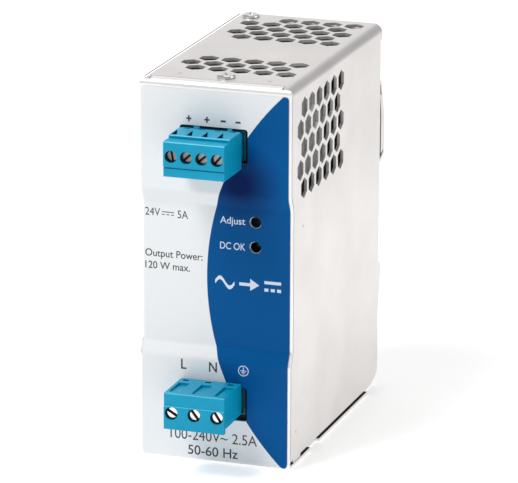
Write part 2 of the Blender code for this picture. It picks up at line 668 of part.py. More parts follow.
def header(kind):
    """Socket behind the panel slot, with square holes for its pins."""
    t = TERMINALS[kind]
    low, high = t["slot_z"]
    z = (low + GAP, high - GAP)
    x = (SLOT_X[0] + GAP, SLOT_X[1] - GAP)
    bm = bmesh.new()
    add_box(bm, x, (1.2, 11.6), z)
    socket = add_piece(f"{kind}_header", bm, "teal")
    cavity = bmesh.new()
    add_box(cavity, (PLUG_CENTRE_X - 9.8, PLUG_CENTRE_X + 9.8), (0.0, 9.4), (z[0] + 0.9, z[1] - 0.9))
    shape_with(socket, cavity)
    holes = bmesh.new()
    pin_z = t["pin_z"]
    for pole in t["poles"]:
        add_box(holes, (pole - 0.75, pole + 0.75), (8.0, 13.0), (pin_z - 0.75, pin_z + 0.75))
    shape_with(socket, holes)


# ---- boards and front controls ----------------------------------------------------------------------------
def board_plate():
    """Inner steel plate with four pressed-in spacers that carry the main board."""
    bm = bmesh.new()
    add_box(bm, PLATE_X, (BOARD_Y[0], BOARD_Y[1] + 1.5), (BOARD_Z[0], BOARD_Z[1]))
    plate = add_piece("board_plate", bm, "steel")
    spacers = bmesh.new()
    bores = bmesh.new()
    for y, z in BOARD_HOLES:
        add_rod(spacers, "x", (PLATE_X[0] + 0.5, y, z), 2.8, BOARD_X[0] - GAP - PLATE_X[0] - 0.5, 12)
        add_rod(bores, "x", (PLATE_X[0] - 1.0, y, z), 1.6, 8.0, 12)
    shape_with(plate, spacers, "UNION")
    shape_with(plate, bores)


def insulation_sheet():
    bm = bmesh.new()
    add_box(bm, (-20.6, -20.3), (BOARD_Y[0] - 1.0, BOARD_Y[1] + 1.0), (BOARD_Z[0] - 1.5, BOARD_Z[1] + 0.3))
    sheet = add_piece("insulation_sheet", bm, "insulator")
    holes = bmesh.new()
    for y, z in BOARD_HOLES:
        add_rod(holes, "x", (-22.0, y, z), 3.4, 3.0, 12)
    shape_with(sheet, holes)


def boards():
    bm = bmesh.new()
    add_box(bm, BOARD_X, BOARD_Y, BOARD_Z)
    main = add_piece("main_board", bm, "board")
    holes = bmesh.new()
    for y, z in BOARD_HOLES:
        add_rod(holes, "x", (BOARD_X[0] - 1.0, y, z), 1.7, 4.0, 12)
    shape_with(main, holes)

    bm = bmesh.new()
    add_box(bm, (-19.5, 20.0), FRONT_BOARD_Y, (7.0, 117.5))
    front = add_piece("front_board", bm, "board")
    holes = bmesh.new()
    for t in TERMINALS.values():
        for pole in t["poles"]:
            add_box(holes, (pole - 0.8, pole + 0.8), (11.0, 15.0), (t["pin_z"] - 0.8, t["pin_z"] + 0.8))
    shape_with(front, holes)


def board_screws():
    length = 5.0
    profile = [(0, 0), (1.4, 0), (1.4, length), (2.9, length), (2.9, length + 1.0), (2.1, length + 1.8),
               (0, length + 1.8)]
    for number, (y, z) in enumerate(BOARD_HOLES, start=1):
        bm = bmesh.new()
        add_turned(bm, "x", (BOARD_X[1] + 0.1 - length, y, z), profile)
        add_piece(f"board_screw_{number}", bm, "zinc", smooth=True)


def front_controls():
    """Voltage trimmer and status lamp on the front board, in line with the two holes in the panel."""
    board = FRONT_BOARD_Y[0] - 0.2
    bm = bmesh.new()
    add_box(bm, (ADJUST_X - 3.3, ADJUST_X + 3.3), (7.0, board), (ADJUST_Z - 3.3, ADJUST_Z + 3.3))
    body = add_piece("trimmer_body", bm, "blue")
    bore = bmesh.new()
    add_rod(bore, "y", (ADJUST_X, 5.0, ADJUST_Z), 1.75, 4.0, 16)
    shape_with(body, bore)

    bm = bmesh.new()
    profile = [(0, 0), (1.2, 0), (1.5, 0.3), (1.5, 3.6), (0, 3.6)]
    add_turned(bm, "y", (ADJUST_X, 5.2, ADJUST_Z), profile, 16)
    rotor = add_piece("trimmer_rotor", bm, "ceramic", (ADJUST_X, 5.2, ADJUST_Z), smooth=True)
    slot = bmesh.new()
    add_box(slot, (ADJUST_X - 2.0, ADJUST_X + 2.0), (4.0, 5.8), (ADJUST_Z - 0.25, ADJUST_Z + 0.25))
    shape_with(rotor, slot)

    bm = bmesh.new()
    dome = [(0, 0), (0.8, 0.25), (1.3, 0.8), (1.5, 1.5), (1.5, 5.6), (1.9, 5.6), (1.9, board - 5.0), (0, board - 5.0)]
    add_turned(bm, "y", (ADJUST_X, 5.0, LED_Z), dome, 16)
    add_piece("status_led", bm, "green_lens", smooth=True)


# ---- electronics ------------------------------------------------------------------------------------------
def input_stage():
    bm = bmesh.new()
    cap = 2.9
    profile = [(0, 0), (cap, 0), (cap, 4.0), (2.5, 4.0), (2.5, 14.0), (cap, 14.0), (cap, 18.0), (0, 18.0)]
    add_turned(bm, "z", (PART_BASE + 3.2, 21.5, 7.0), profile, 16)
    add_piece("input_fuse", bm, "ceramic", smooth=True)
    discs = (("inrush_thermistor", "ferrite", 27.0, 5.0), ("surge_varistor", "blue", 35.0, 4.5))
    for name, finish, y, thick in discs:
        bm = bmesh.new()
        rim = [(0, 0), (6.2, 0), (7.0, 1.0), (7.0, thick - 1.0), (6.2, thick), (0, thick)]
        add_turned(bm, "y", (PART_BASE + 8.2, y, 14.5), rim, 20)
        add_piece(name, bm, finish, smooth=True)
    bm = bmesh.new()
    add_box(bm, (PART_BASE, PART_BASE + 18.0), (42.0, 53.0), (8.0, 34.0))
    add_piece("filter_capacitor", bm, "yellow")
    bm = bmesh.new()
    add_box(bm, (PART_BASE, PART_BASE + 20.0), (56.5, 60.5), (8.0, 30.0))
    add_piece("bridge_rectifier", bm, "black")
    bm = bmesh.new()
    can = [(0, 0), (10.6, 0), (11.0, 0.6), (11.0, 34.2), (10.4, 35.0), (0, 35.0)]
    add_turned(bm, "x", (PART_BASE, 76.0, 20.0), can, 24)
    add_piece("bulk_capacitor", bm, "sleeve", smooth=True)


def ring_pair(name, centre, radii, height, sleeve, core_finish, spans):
    """A toroid on the board: the core ring, and hollow winding sectors that wrap it."""
    y, z = centre
    outer, inner = radii
    x = PART_BASE + sleeve + 0.4

    def ring(big, small, low, length):
        bm = bmesh.new()
        profile = [(small, 0), (big, 0), (big, length), (small, length)]
        verts = [bm.verts.new((radius, 0, height)) for radius, height in profile]
        edges = [bm.edges.new((verts[i], verts[(i + 1) % 4])) for i in range(4)]
        bmesh.ops.spin(bm, geom=verts + edges, axis=(0, 0, 1), cent=(0, 0, 0), angle=math.tau, steps=24,
                       use_merge=True, use_duplicate=False)
        bmesh.ops.transform(bm, verts=bm.verts, matrix=along("x", (low, y, z)))
        return bm

    add_piece(f"{name}_core", ring(outer, inner, x, height), core_finish, smooth=True)
    for label, (start, end) in spans.items():
        winding_bm = bmesh.new()
        steps = 8
        profile = [(inner - sleeve, -sleeve), (outer + sleeve, -sleeve), (outer + sleeve, height + sleeve),
                   (inner - sleeve, height + sleeve)]
        verts = [winding_bm.verts.new((radius, 0, level)) for radius, level in profile]
        face = winding_bm.faces.new(verts)
        turn = Matrix.Rotation(math.radians(start), 4, "Z")
        bmesh.ops.transform(winding_bm, verts=verts, matrix=turn)
        bmesh.ops.spin(winding_bm, geom=[face], axis=(0, 0, 1), cent=(0, 0, 0),
                       angle=math.radians(end - start), steps=steps, use_duplicate=False)
        bmesh.ops.transform(winding_bm, verts=winding_bm.verts, matrix=along("x", (x, y, z)))
        winding = add_piece(f"{name}_winding{label}", winding_bm, "copper", smooth=True)
        shape_with(winding, ring(outer + 0.25, inner - 0.25, x - 0.25, height + 0.5))


def power_stage():
    bm = bmesh.new()
    add_prism(bm, [(PART_BASE, 48.0), (18.5, 48.0), (18.5, 50.4), (PART_BASE + 2.4, 50.4),
                   (PART_BASE + 2.4, 53.5), (PART_BASE, 53.5)], "y", 25.0, 54.0)
    add_piece("primary_heatsink", bm, "aluminium")
    bm = bmesh.new()
    add_box(bm, (-12.0, 3.0), (34.0, 44.2), (50.7, 55.2))
    add_piece("switching_transistor", bm, "black")
    bm = bmesh.new()
    add_box(bm, (12.6, 17.1), (30.0, 40.2), (87.0, 102.0))
    add_piece("output_rectifier", bm, "black")

    y_mid, z_mid = 73.5, 67.0
    x_low = PART_BASE + 3.0
    core = bmesh.new()
    add_box(core, (x_low, x_low + 30.0), (y_mid - 15.5, y_mid + 15.5), (z_mid - 5.5, z_mid + 5.5))
    core_piece = add_piece("transformer_core", core, "ferrite")
    windows = bmesh.new()
    for side in (-1, 1):
        span = sorted((y_mid + side * 5.0, y_mid + side * 11.5))
        add_box(windows, (x_low + 5.0, x_low + 25.0), span, (z_mid - 8.0, z_mid + 8.0))
    shape_with(core_piece, windows)

    def tube(bm_x, outer, inner):
        sleeve = bmesh.new()
        add_box(sleeve, bm_x, (y_mid - outer[0], y_mid + outer[0]), (z_mid - outer[1], z_mid + outer[1]))
        hole = bmesh.new()
        add_box(hole, (bm_x[0] - 1, bm_x[1] + 1), (y_mid - inner[0], y_mid + inner[0]),
                (z_mid - inner[1], z_mid + inner[1]))
        return sleeve, hole

    spool, spool_hole = tube((x_low + 5.3, x_low + 24.7), (6.4, 6.9), (5.3, 5.8))
    bobbin = add_piece("transformer_bobbin", spool, "black")
    for low in (x_low + 5.3, x_low + 23.5):
        flange = bmesh.new()
        add_box(flange, (low, low + 1.2), (y_mid - 11.2, y_mid + 11.2), (z_mid - 11.8, z_mid + 11.8))
        shape_with(bobbin, flange, "UNION")
    shape_with(bobbin, spool_hole)
    coil, coil_hole = tube((x_low + 6.8, x_low + 23.2), (10.8, 11.2), (6.7, 7.2))
    winding = add_piece("transformer_winding", coil, "yellow")
    shape_with(winding, coil_hole)


def output_stage():
    bm = bmesh.new()
    outline = [(PART_BASE, 82.0), (20.0, 82.0), (20.0, 117.0), (17.4, 117.0), (17.4, 84.4), (PART_BASE, 84.4)]
    add_prism(bm, outline, "y", 16.5, 58.0)
    add_piece("secondary_heatsink", bm, "aluminium")
    can = [(0, 0), (4.7, 0), (5.0, 0.5), (5.0, 19.4), (4.6, 20.0), (0, 20.0)]
    for number, y in enumerate((29.0, 42.0), start=1):
        bm = bmesh.new()
        add_turned(bm, "x", (PART_BASE, y, 110.5), can)
        add_piece(f"output_capacitor_{number}", bm, "sleeve", smooth=True)
    bm = bmesh.new()
    add_box(bm, (PART_BASE, 8.0), (62.0, 63.2), (84.0, 114.0))
    add_piece("control_board", bm, "board")


def build():
    clear_scene()
    frame = bpy.data.objects.new("case_frame", None)
    frame.location = (0, -SEAT_Y * MM, -RAIL_Z * MM)
    bpy.context.scene.collection.objects.link(frame)
    housing_cover()
    chassis()
    front_label()
    cover_screws()
    rail_bracket()
    bracket_screws()
    rail_latch()
    latch_spring()
    for kind in TERMINALS:
        plug_body(kind)
        terminal_hardware(kind)
        header(kind)
    board_plate()
    insulation_sheet()
    boards()
    board_screws()
    front_controls()
    input_stage()
    ring_pair("choke", (29.5, 36.5), (8.5, 4.6), 9.0, 1.3, "ferrite",
              {"_upper": (15, 165), "_lower": (195, 345)})
    power_stage()
    output_stage()
    ring_pair("inductor", (77.0, 99.0), (9.0, 4.8), 10.0, 1.3, "yellow", {"": (10, 350)})


build()
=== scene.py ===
# %% [markdown]
# # A DIN rail power supply
# The model is a slim sheet-metal box, two pull-off terminal plugs, a clip for a 35 mm rail and the
# electronics inside. The fixed frame gives every position: this script only builds the finished surfaces
# around it. All lengths below are millimetres measured from the front of the case, its floor and its
# middle, because that is how a sheet-metal drawing is read. One matrix takes a finished mesh to the
# frame's metres.
# %% Load the frame
import json
import math

import bmesh
import bpy
from mathutils import Matrix, Vector


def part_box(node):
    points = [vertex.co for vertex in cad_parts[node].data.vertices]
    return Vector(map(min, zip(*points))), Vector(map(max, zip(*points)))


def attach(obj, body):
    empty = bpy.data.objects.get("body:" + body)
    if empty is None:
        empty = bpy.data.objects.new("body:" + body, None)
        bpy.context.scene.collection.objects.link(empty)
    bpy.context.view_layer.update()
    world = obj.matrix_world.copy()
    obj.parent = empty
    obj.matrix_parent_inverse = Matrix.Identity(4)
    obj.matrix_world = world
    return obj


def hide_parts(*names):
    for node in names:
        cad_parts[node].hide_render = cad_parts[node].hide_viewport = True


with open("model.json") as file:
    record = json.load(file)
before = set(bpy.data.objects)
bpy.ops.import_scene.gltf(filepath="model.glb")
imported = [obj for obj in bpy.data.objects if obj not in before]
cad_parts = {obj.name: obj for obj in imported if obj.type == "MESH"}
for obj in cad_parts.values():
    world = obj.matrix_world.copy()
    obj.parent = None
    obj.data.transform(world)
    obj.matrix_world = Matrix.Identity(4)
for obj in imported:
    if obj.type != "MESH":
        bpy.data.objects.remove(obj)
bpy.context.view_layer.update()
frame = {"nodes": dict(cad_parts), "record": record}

MM = 0.001
case_low, case_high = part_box("chassis")
CASE_ORIGIN = Vector((0, case_low.y, case_low.z))
TO_WORLD = Matrix.Translation(CASE_ORIGIN) @ Matrix.Scale(MM, 4)
WIDTH = (case_high.x - case_low.x) / MM
HEIGHT = (case_high.z - case_low.z) / MM


def node_box(node):
    """Lowest and highest corner of a frame node, in case millimetres."""
    low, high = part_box(node)
    return (low - CASE_ORIGIN) / MM, (high - CASE_ORIGIN) / MM


print(f"case {WIDTH:.1f} wide, {HEIGHT:.1f} high, {len(frame['nodes'])} frame nodes")

# %% [markdown]
# ## Camera, floor and light
# The view is a product picture taken from the front right and a little above, from far away, so the sides
# of the box stay almost parallel. A long lens at the right distance gives that. The turn and the tilt are
# set as angles, and the camera's axes are worked out from them. The stage is white and the light is large
# and soft.
# %% Camera
CAMERA_AT = (429.0, -1229.9, 444.3)
YAW, PITCH, ROLL = math.radians(18.62), math.radians(15.92), math.radians(0.20)
LENS_MM = 301.2


def aim_matrix(yaw, pitch, roll):
    """Turns a camera yaw to the left, pitch down and roll, starting from a level view along +Y."""
    level = Matrix.Rotation(math.radians(90), 3, "X")
    turned_down = Matrix.Rotation(yaw, 3, "Z") @ Matrix.Rotation(-pitch, 3, "X")
    return turned_down @ level @ Matrix.Rotation(roll, 3, "Z")


camera_data = bpy.data.cameras.new("camera")
camera_data.lens = LENS_MM
camera_data.sensor_width = 36.0
camera = bpy.data.objects.new("camera", camera_data)
camera.matrix_world = Matrix.Translation(TO_WORLD @ Vector(CAMERA_AT)) @ aim_matrix(YAW, PITCH, ROLL).to_4x4()
bpy.context.scene.collection.objects.link(camera)
bpy.context.scene.camera = camera
print("camera at", [round(c, 3) for c in camera.location])

# %% Floor and lights
scene = bpy.context.scene
scene.view_settings.view_transform = "Standard"
scene.world = bpy.data.worlds.new("studio")
scene.world.use_nodes = True
studio = scene.world.node_tree.nodes["Background"]
studio.inputs["Color"].default_value = (1.0, 1.0, 1.0, 1.0)
studio.inputs["Strength"].default_value = 0.37

floor_bm = bmesh.new()
bmesh.ops.create_grid(floor_bm, x_segments=1, y_segments=1, size=3.0)
bmesh.ops.translate(floor_bm, verts=floor_bm.verts, vec=(0, 0, case_low.z - 0.0005))
floor_mesh = bpy.data.meshes.new("floor")
floor_bm.to_mesh(floor_mesh)
floor_bm.free()
floor = bpy.data.objects.new("floor", floor_mesh)
scene.collection.objects.link(floor)
floor_paint = bpy.data.materials.new("studio_floor")
floor_paint.use_nodes = True
floor_shader = floor_paint.node_tree.nodes["Principled BSDF"]
floor_shader.inputs["Base Color"].default_value = (0.95, 0.95, 0.95, 1.0)
floor_shader.inputs["Roughness"].default_value = 0.9
floor_shader.inputs["Emission Color"].default_value = (1.0, 1.0, 1.0, 1.0)
floor_shader.inputs["Emission Strength"].default_value = 0.42
floor_mesh.materials.append(floor_paint)


def soft_light(name, at, toward, size, watts):
    """A square area light at a case position, facing another."""
    data = bpy.data.lights.new(name, "AREA")
    data.size = size * MM
    data.energy = watts
    light = bpy.data.objects.new(name, data)
    start, end = TO_WORLD @ Vector(at), TO_WORLD @ Vector(toward)
    light.location = start
    light.rotation_euler = (end - start).to_track_quat("-Z", "Y").to_euler()
    scene.collection.objects.link(light)
    print(f"{name} light: {size:.0f} mm across, {watts} W")


middle = (0.0, 45.0, HEIGHT / 2)
soft_light("key", (-260.0, -300.0, 760.0), middle, 320.0, 4.6)
soft_light("right_fill", (850.0, 100.0, 300.0), middle, 500.0, 0.95)
soft_light("top", (0.0, 250.0, 900.0), middle, 500.0, 0.9)
soft_light("back", (-350.0, 900.0, 420.0), middle, 700.0, 0.8)

# %% [markdown]
# ## Finishes
# Each finish is a small node tree on the Principled shader. Colour varies a little over large patches,
# roughness over smaller ones, and a bump gives the grain: long streaks for rolled sheet, fine pebble for
# moulded plastic. Patterns read Object coordinates in metres, so a noise scale of 900 makes a patch of
# about a millimetre.
# %% Node helpers
def new_material(name):
    made = bpy.data.materials.new(name)
    made.use_nodes = True
    tree = made.node_tree
    return made, tree, tree.nodes["Principled BSDF"]


def node(tree, kind, **inputs):
    """Adds a shader node and sets its inputs by name; underscores stand for spaces."""
    made = tree.nodes.new(kind)
    for name, value in inputs.items():
        made.inputs[name.replace("_", " ")].default_value = value
    return made


def object_space(tree, stretch=(1, 1, 1)):
    """Object coordinates, stretched along each axis."""
    place = tree.nodes.new("ShaderNodeTexCoord")
    mapping = node(tree, "ShaderNodeMapping", Scale=stretch)
    tree.links.new(place.outputs["Object"], mapping.inputs["Vector"])
    return mapping.outputs["Vector"]


def noise(tree, vector, scale, detail=3.0, roughness=0.5):
    made = node(tree, "ShaderNodeTexNoise", Scale=scale, Detail=detail, Roughness=roughness)
    tree.links.new(vector, made.inputs["Vector"])
    return made.outputs["Fac"]


def remap(tree, value, low, high, start=0.3, end=0.7):
    """Takes the part of a noise between start and end to the range low to high."""
    made = node(tree, "ShaderNodeMapRange", From_Min=start, From_Max=end, To_Min=low, To_Max=high)
    tree.links.new(value, made.inputs["Value"])
    return made.outputs["Result"]


def blend_colours(tree, factor, first, second):
    """Mixes two colours, or two colour sockets, by a factor socket."""
    mix = tree.nodes.new("ShaderNodeMix")
    mix.data_type = "RGBA"
    tree.links.new(factor, mix.inputs["Factor"])
    for index, colour in ((6, first), (7, second)):
        if isinstance(colour, bpy.types.NodeSocket):
            tree.links.new(colour, mix.inputs[index])
        else:
            mix.inputs[index].default_value = (*colour, 1.0)
    return mix.outputs[2]


def bump(tree, shader, height, strength, distance):
    made = node(tree, "ShaderNodeBump", Strength=strength, Distance=distance)
    tree.links.new(height, made.inputs["Height"])
    tree.links.new(made.outputs["Normal"], shader.inputs["Normal"])


def varied(tree, factor, colour, spread):
    """A colour that wanders a little darker and lighter, by a factor socket."""
    darker = tuple(c * (1 - spread) for c in colour)
    lighter = tuple(min(1.0, c * (1 + spread)) for c in colour)
    return blend_colours(tree, remap(tree, factor, 0, 1), darker, lighter)


print("node helpers ready, materials so far:", len(bpy.data.materials))

# %% Metal, plastic and film finishes
def rolled_metal(name, colour, roughness, streak=(1, 1, 8), contrast=0.05, depth=0.00001, metallic=1.0):
    """Sheet or plated metal: soft cloudy colour, streaks in the roughness and a faint rolled grain."""
    made, tree, shader = new_material(name)
    shader.inputs["Metallic"].default_value = metallic
    cloud = noise(tree, object_space(tree), 45.0, 4.0)
    tree.links.new(varied(tree, cloud, colour, contrast), shader.inputs["Base Color"])
    grain = noise(tree, object_space(tree, streak), 900.0, 3.0)
    rough = remap(tree, grain, roughness - 0.05, roughness + 0.06)
    tree.links.new(rough, shader.inputs["Roughness"])
    bump(tree, shader, grain, 0.25, depth)
    return made


def moulded(name, colour, roughness, grain=2500.0, depth=0.00002, variation=0.06, strength=0.3, gloss=0.5):
    """Injection-moulded plastic: even colour with slight flow marks and a fine eroded texture."""
    made, tree, shader = new_material(name)
    space = object_space(tree)
    shader.inputs["Specular IOR Level"].default_value = gloss
    flow = noise(tree, space, 120.0, 2.0)
    tree.links.new(varied(tree, flow, colour, variation), shader.inputs["Base Color"])
    pebble = noise(tree, space, grain, 2.0)
    tree.links.new(remap(tree, pebble, roughness - 0.04, roughness + 0.05), shader.inputs["Roughness"])
    bump(tree, shader, pebble, strength, depth)
    return made


steel_cover = rolled_metal("cover_sheet", (0.80, 0.775, 0.76), 0.44, metallic=0.8)
steel_panel = rolled_metal("panel_sheet", (0.88, 0.87, 0.86), 0.34, metallic=0.55)
# Near-black copy of the sheet for inner faces and dimple floors: painted shade of the unlit inside.
steel_inside_shade = rolled_metal("sheet_inside_painted_shade", (0.16, 0.155, 0.15), 0.5)
steel_clip = rolled_metal("clip_sheet", (0.74, 0.73, 0.72), 0.36, streak=(8, 1, 1))
zinc_bright = rolled_metal("bright_zinc", (0.80, 0.79, 0.77), 0.20, contrast=0.03)
screw_dark = rolled_metal("dark_screw", (0.26, 0.26, 0.26), 0.30, contrast=0.35)
teal = moulded("teal_polyamide", (0.001, 0.30, 0.49), 0.34, gloss=0.2)
# Lighter copy of the plug teal for the rounded front top edges: a painted highlight.
teal_painted_highlight = moulded("painted_highlight_teal", (0.07, 0.55, 0.74), 0.3, gloss=0.3)
# Dark copy of the plug teal for the screw wells and small pits: painted shade.
teal_painted_shade = moulded("teal_painted_shade", (0.001, 0.07, 0.12), 0.5, gloss=0.15)
# Darker copy of the plug teal for the sockets deep in the slots: painted shade.
teal_socket_shade = moulded("shaded_socket_teal", (0.004, 0.11, 0.17), 0.5, gloss=0.2)
black_ink = moulded("black_ink", (0.035, 0.033, 0.033), 0.55, grain=6000.0, depth=0.000005)
white_ink = moulded("white_ink", (0.62, 0.70, 0.82), 0.5, grain=6000.0, depth=0.000005, variation=0.02)
print("finishes so far:", len(bpy.data.materials))

# %% [markdown]
# ## Sheet metal: punch flat, then fold
# The case is made as the real one is. A blank is cut flat with all its holes, it gets its thickness and
# broken edges while it is still flat, and only then is it folded. The fold line is a list of flats and
# bends. A point of the blank is given by its distance along that line, its place across it and its lift
# off the sheet's middle.
# %% Fold lines
def fold_line(corners, radii):
    """Lists the flats and bends of a folded sheet's middle line, with each one's start and turn."""
    runs = []
    travelled = 0.0
    at = Vector(corners[0])
    for corner, after, radius in zip(corners[1:], corners[2:], radii):
        corner, after = Vector(corner), Vector(after)
        arrive = (corner - at).normalized()
        turn = arrive.angle_signed((after - corner).normalized())
        setback = radius * math.tan(abs(turn) / 2)
        flat = (corner - at).length - setback
        runs.append({"start": travelled, "length": flat, "at": at, "way": arrive, "turn": 0.0})
        travelled += flat
        bend_at = corner - arrive * setback
        arc = radius * abs(turn)
        runs.append({"start": travelled, "length": arc, "at": bend_at, "way": arrive, "turn": turn})
        travelled += arc
        at = corner + (after - corner).normalized() * setback
    last = Vector(corners[-1])
    runs.append({"start": travelled, "length": (last - at).length, "at": at, "way": (last - at).normalized(),
                 "turn": 0.0})
    return runs


def on_line(runs, distance, lift=0.0):
    """The point at a distance along the line, lifted off its middle towards the outside."""
    run = next((r for r in runs if distance <= r["start"] + r["length"]), runs[-1])
    along = distance - run["start"]
    out = Vector((run["way"].y, -run["way"].x))
    if not run["turn"]:
        return run["at"] + run["way"] * along + out * lift
    radius = run["length"] / abs(run["turn"])
    hand = math.copysign(1.0, run["turn"])
    centre = run["at"] + out * radius * hand
    spoke = -out * hand
    spoke.rotate(Matrix.Rotation(-run["turn"] * along / run["length"], 2))
    return centre + spoke * (radius - lift * hand)


def bend_stations(runs, step_degrees=7.0):
    """Distances along the line where the blank needs an edge so that its bends come out round."""
    stations = []
    for run in runs:
        if run["turn"]:
            count = max(2, math.ceil(abs(math.degrees(run["turn"])) / step_degrees))
            stations += [run["start"] + run["length"] * i / count for i in range(count + 1)]
    return stations


last_flat = fold_line([(0.0, 0.0), (10.0, 0.0), (10.0, 10.0)], [2.0])[-1]
print("a 10 by 10 mm angle is", round(last_flat["start"] + last_flat["length"], 2), "mm long flat")


# %% Blanks
def punched_blank(outline, holes, low, high, rounding=0.12, dimples=()):
    """A flat sheet with holes, from the lift low to high, with broken edges. Dimples are (centre, radius,
    depth); each dimple's floor takes the second material, on the cover a dark painted shade."""
    bm = bmesh.new()
    rings = [[Vector((*point, 0.0)) for point in loop] for loop in (outline, *holes)]
    for (across, along), radius, _ in dimples:
        rings.append([Vector((*point, 0.0)) for point in circle(across, along, radius, 16)])
    edges = []
    for ring in rings:
        verts = [bm.verts.new(point) for point in ring]
        edges += [bm.edges.new((verts[i - 1], verts[i])) for i in range(len(verts))]
    dimple_edges = edges[len(edges) - 16 * len(dimples):] if dimples else []
    bmesh.ops.triangle_fill(bm, use_beauty=True, use_dissolve=False, edges=edges, normal=(0, 0, 1))
    for number, (_, _, depth) in enumerate(dimples):
        rim = dimple_edges[16 * number:16 * number + 16]
        inner = bmesh.ops.extrude_edge_only(bm, edges=rim)["geom"]
        verts = [g for g in inner if isinstance(g, bmesh.types.BMVert)]
        centre = sum((v.co for v in verts), Vector()) / len(verts)
        bmesh.ops.scale(bm, verts=verts, vec=(0.45, 0.45, 1), space=Matrix.Translation(-centre))
        bmesh.ops.translate(bm, verts=verts, vec=(0, 0, -depth))
        rim = [g for g in inner if isinstance(g, bmesh.types.BMEdge) and all(v in verts for v in g.verts)]
        # The dimple floor takes the second material: painted shade in the hollow.
        for face in bmesh.ops.edgeloop_fill(bm, edges=rim)["faces"]:
            face.material_index = 1
    bmesh.ops.recalc_face_normals(bm, faces=bm.faces)
    if sum(face.normal.z for face in bm.faces) > 0:
        bmesh.ops.reverse_faces(bm, faces=bm.faces)
    grown = bmesh.ops.extrude_face_region(bm, geom=bm.faces[:])["geom"]
    top = [g for g in grown if isinstance(g, bmesh.types.BMVert)]
    bmesh.ops.translate(bm, verts=top, vec=(0, 0, high - low))
    bmesh.ops.translate(bm, verts=bm.verts, vec=(0, 0, low))
    bmesh.ops.recalc_face_normals(bm, faces=bm.faces)
    if rounding:
        rims = [e for e in bm.edges if e.calc_face_angle(0.0) > math.radians(60)
                and abs(e.verts[0].co.z - e.verts[1].co.z) < 1e-5]
        bmesh.ops.bevel(bm, geom=rims, offset=rounding, offset_type="OFFSET", segments=2, profile=0.5,
                        affect="EDGES", clamp_overlap=True, material=-1)
    return bm


def circle(a, b, radius, count=24):
    turns = [math.tau * i / count for i in range(count)]
    return [(a + radius * math.cos(t), b + radius * math.sin(t)) for t in turns]


def rectangle(a, b):
    """Corners of the rectangle between the pairs a and b."""
    return [(a[0], b[0]), (a[1], b[0]), (a[1], b[1]), (a[0], b[1])]


def rounded_rect(a, b, radius, steps=5):
    """Corner-rounded rectangle between the pairs a and b."""
    points = []
    corners = ((a[1], b[1], 0), (a[0], b[1], 90), (a[0], b[0], 180), (a[1], b[0], 270))
    for corner_a, corner_b, start in corners:
        centre_a = corner_a - math.copysign(radius, corner_a - sum(a) / 2)
        centre_b = corner_b - math.copysign(radius, corner_b - sum(b) / 2)
        turns = [math.radians(start + 90 * i / steps) for i in range(steps + 1)]
        points += [(centre_a + radius * math.cos(t), centre_b + radius * math.sin(t)) for t in turns]
    return points


def crease(bm, stations, way=(1, 0, 0)):
    """Cuts the blank straight across at each station along `way`."""
    for station in stations:
        bmesh.ops.bisect_plane(bm, geom=bm.verts[:] + bm.edges[:] + bm.faces[:], dist=1e-5,
                               plane_co=Vector(way) * station, plane_no=way)


def merge(bm, other):
    """Adds one bmesh to another and frees it."""
    carrier = bpy.data.meshes.new("carrier")
    other.to_mesh(carrier)
    other.free()
    bm.from_mesh(carrier)
    bpy.data.meshes.remove(carrier)


def add_piece(name, bm, material, body, replaces=(), smooth=35.0, others=()):
    """Moves a bmesh in case millimetres to the frame, and makes it a piece that rides on a body."""
    bmesh.ops.transform(bm, verts=bm.verts, matrix=TO_WORLD)
    mesh = bpy.data.meshes.new(name)
    bm.to_mesh(mesh)
    bm.free()
    mesh.materials.append(material)
    for other in others:
        mesh.materials.append(other)
    mesh.shade_smooth()
    mesh.set_sharp_from_angle(angle=math.radians(smooth))
    piece = bpy.data.objects.new(name, mesh)
    scene.collection.objects.link(piece)
    evened = piece.modifiers.new("evened", "WEIGHTED_NORMAL")
    evened.keep_sharp = True
    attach(piece, body)
    if replaces:
        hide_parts(*replaces)
    print(f"{name}: {len(mesh.polygons)} faces")


# %% [markdown]
# ## Chassis: front panel, floor and back
# One sheet carries the stepped front, the floor and the back. Its fold line starts at the short flange
# behind the panel's top edge, runs down the front with its shallow recess, turns under the floor and goes
# up the back. The middle part of the panel is set back by 2 mm between two slopes.
# %% Chassis
SHEET = 1.0
HALF_SHEET = SHEET / 2
RECESS = 2.0
PANEL_FLANGE = 3.5
BACK_Y = node_box("chassis")[1].y
UPPER_SLOPE = (88.4, 84.1)
LOWER_SLOPE = (37.8, 34.0)
STEP_RADIUS = 3.0
SLOT_X = (-11.5, 10.9)
OUTPUT_SLOT_Z = (98.5, 109.7)
INPUT_SLOT_Z = (14.7, 25.9)
PEEP = {"adjust": (12.8, 79.5), "lamp": (12.8, 71.4)}
PEEP_RADIUS = 1.8

near, far = HALF_SHEET, HALF_SHEET + RECESS
panel_corners = [(near, UPPER_SLOPE[0]), (far, UPPER_SLOPE[1]), (far, LOWER_SLOPE[0]), (near, LOWER_SLOPE[1])]
chassis_corners = [(PANEL_FLANGE, HEIGHT - HALF_SHEET), (near, HEIGHT - HALF_SHEET), *panel_corners,
                   (near, HALF_SHEET), (BACK_Y - HALF_SHEET, HALF_SHEET), (BACK_Y - HALF_SHEET, HEIGHT - 1.6)]
chassis_line = fold_line(chassis_corners, [1.5] + [STEP_RADIUS] * 4 + [1.0, 2.0])
upper_run, middle_run, lower_run, floor_run, back_run = (chassis_line[i] for i in (2, 6, 10, 12, 14))


def down_panel(run, z):
    """Distance along the fold line of a height on one of the panel's flats."""
    return run["start"] + run["at"].y - z


def along_floor(y):
    return floor_run["start"] + y - floor_run["at"].x


def up_back(z):
    return back_run["start"] + z - back_run["at"].y


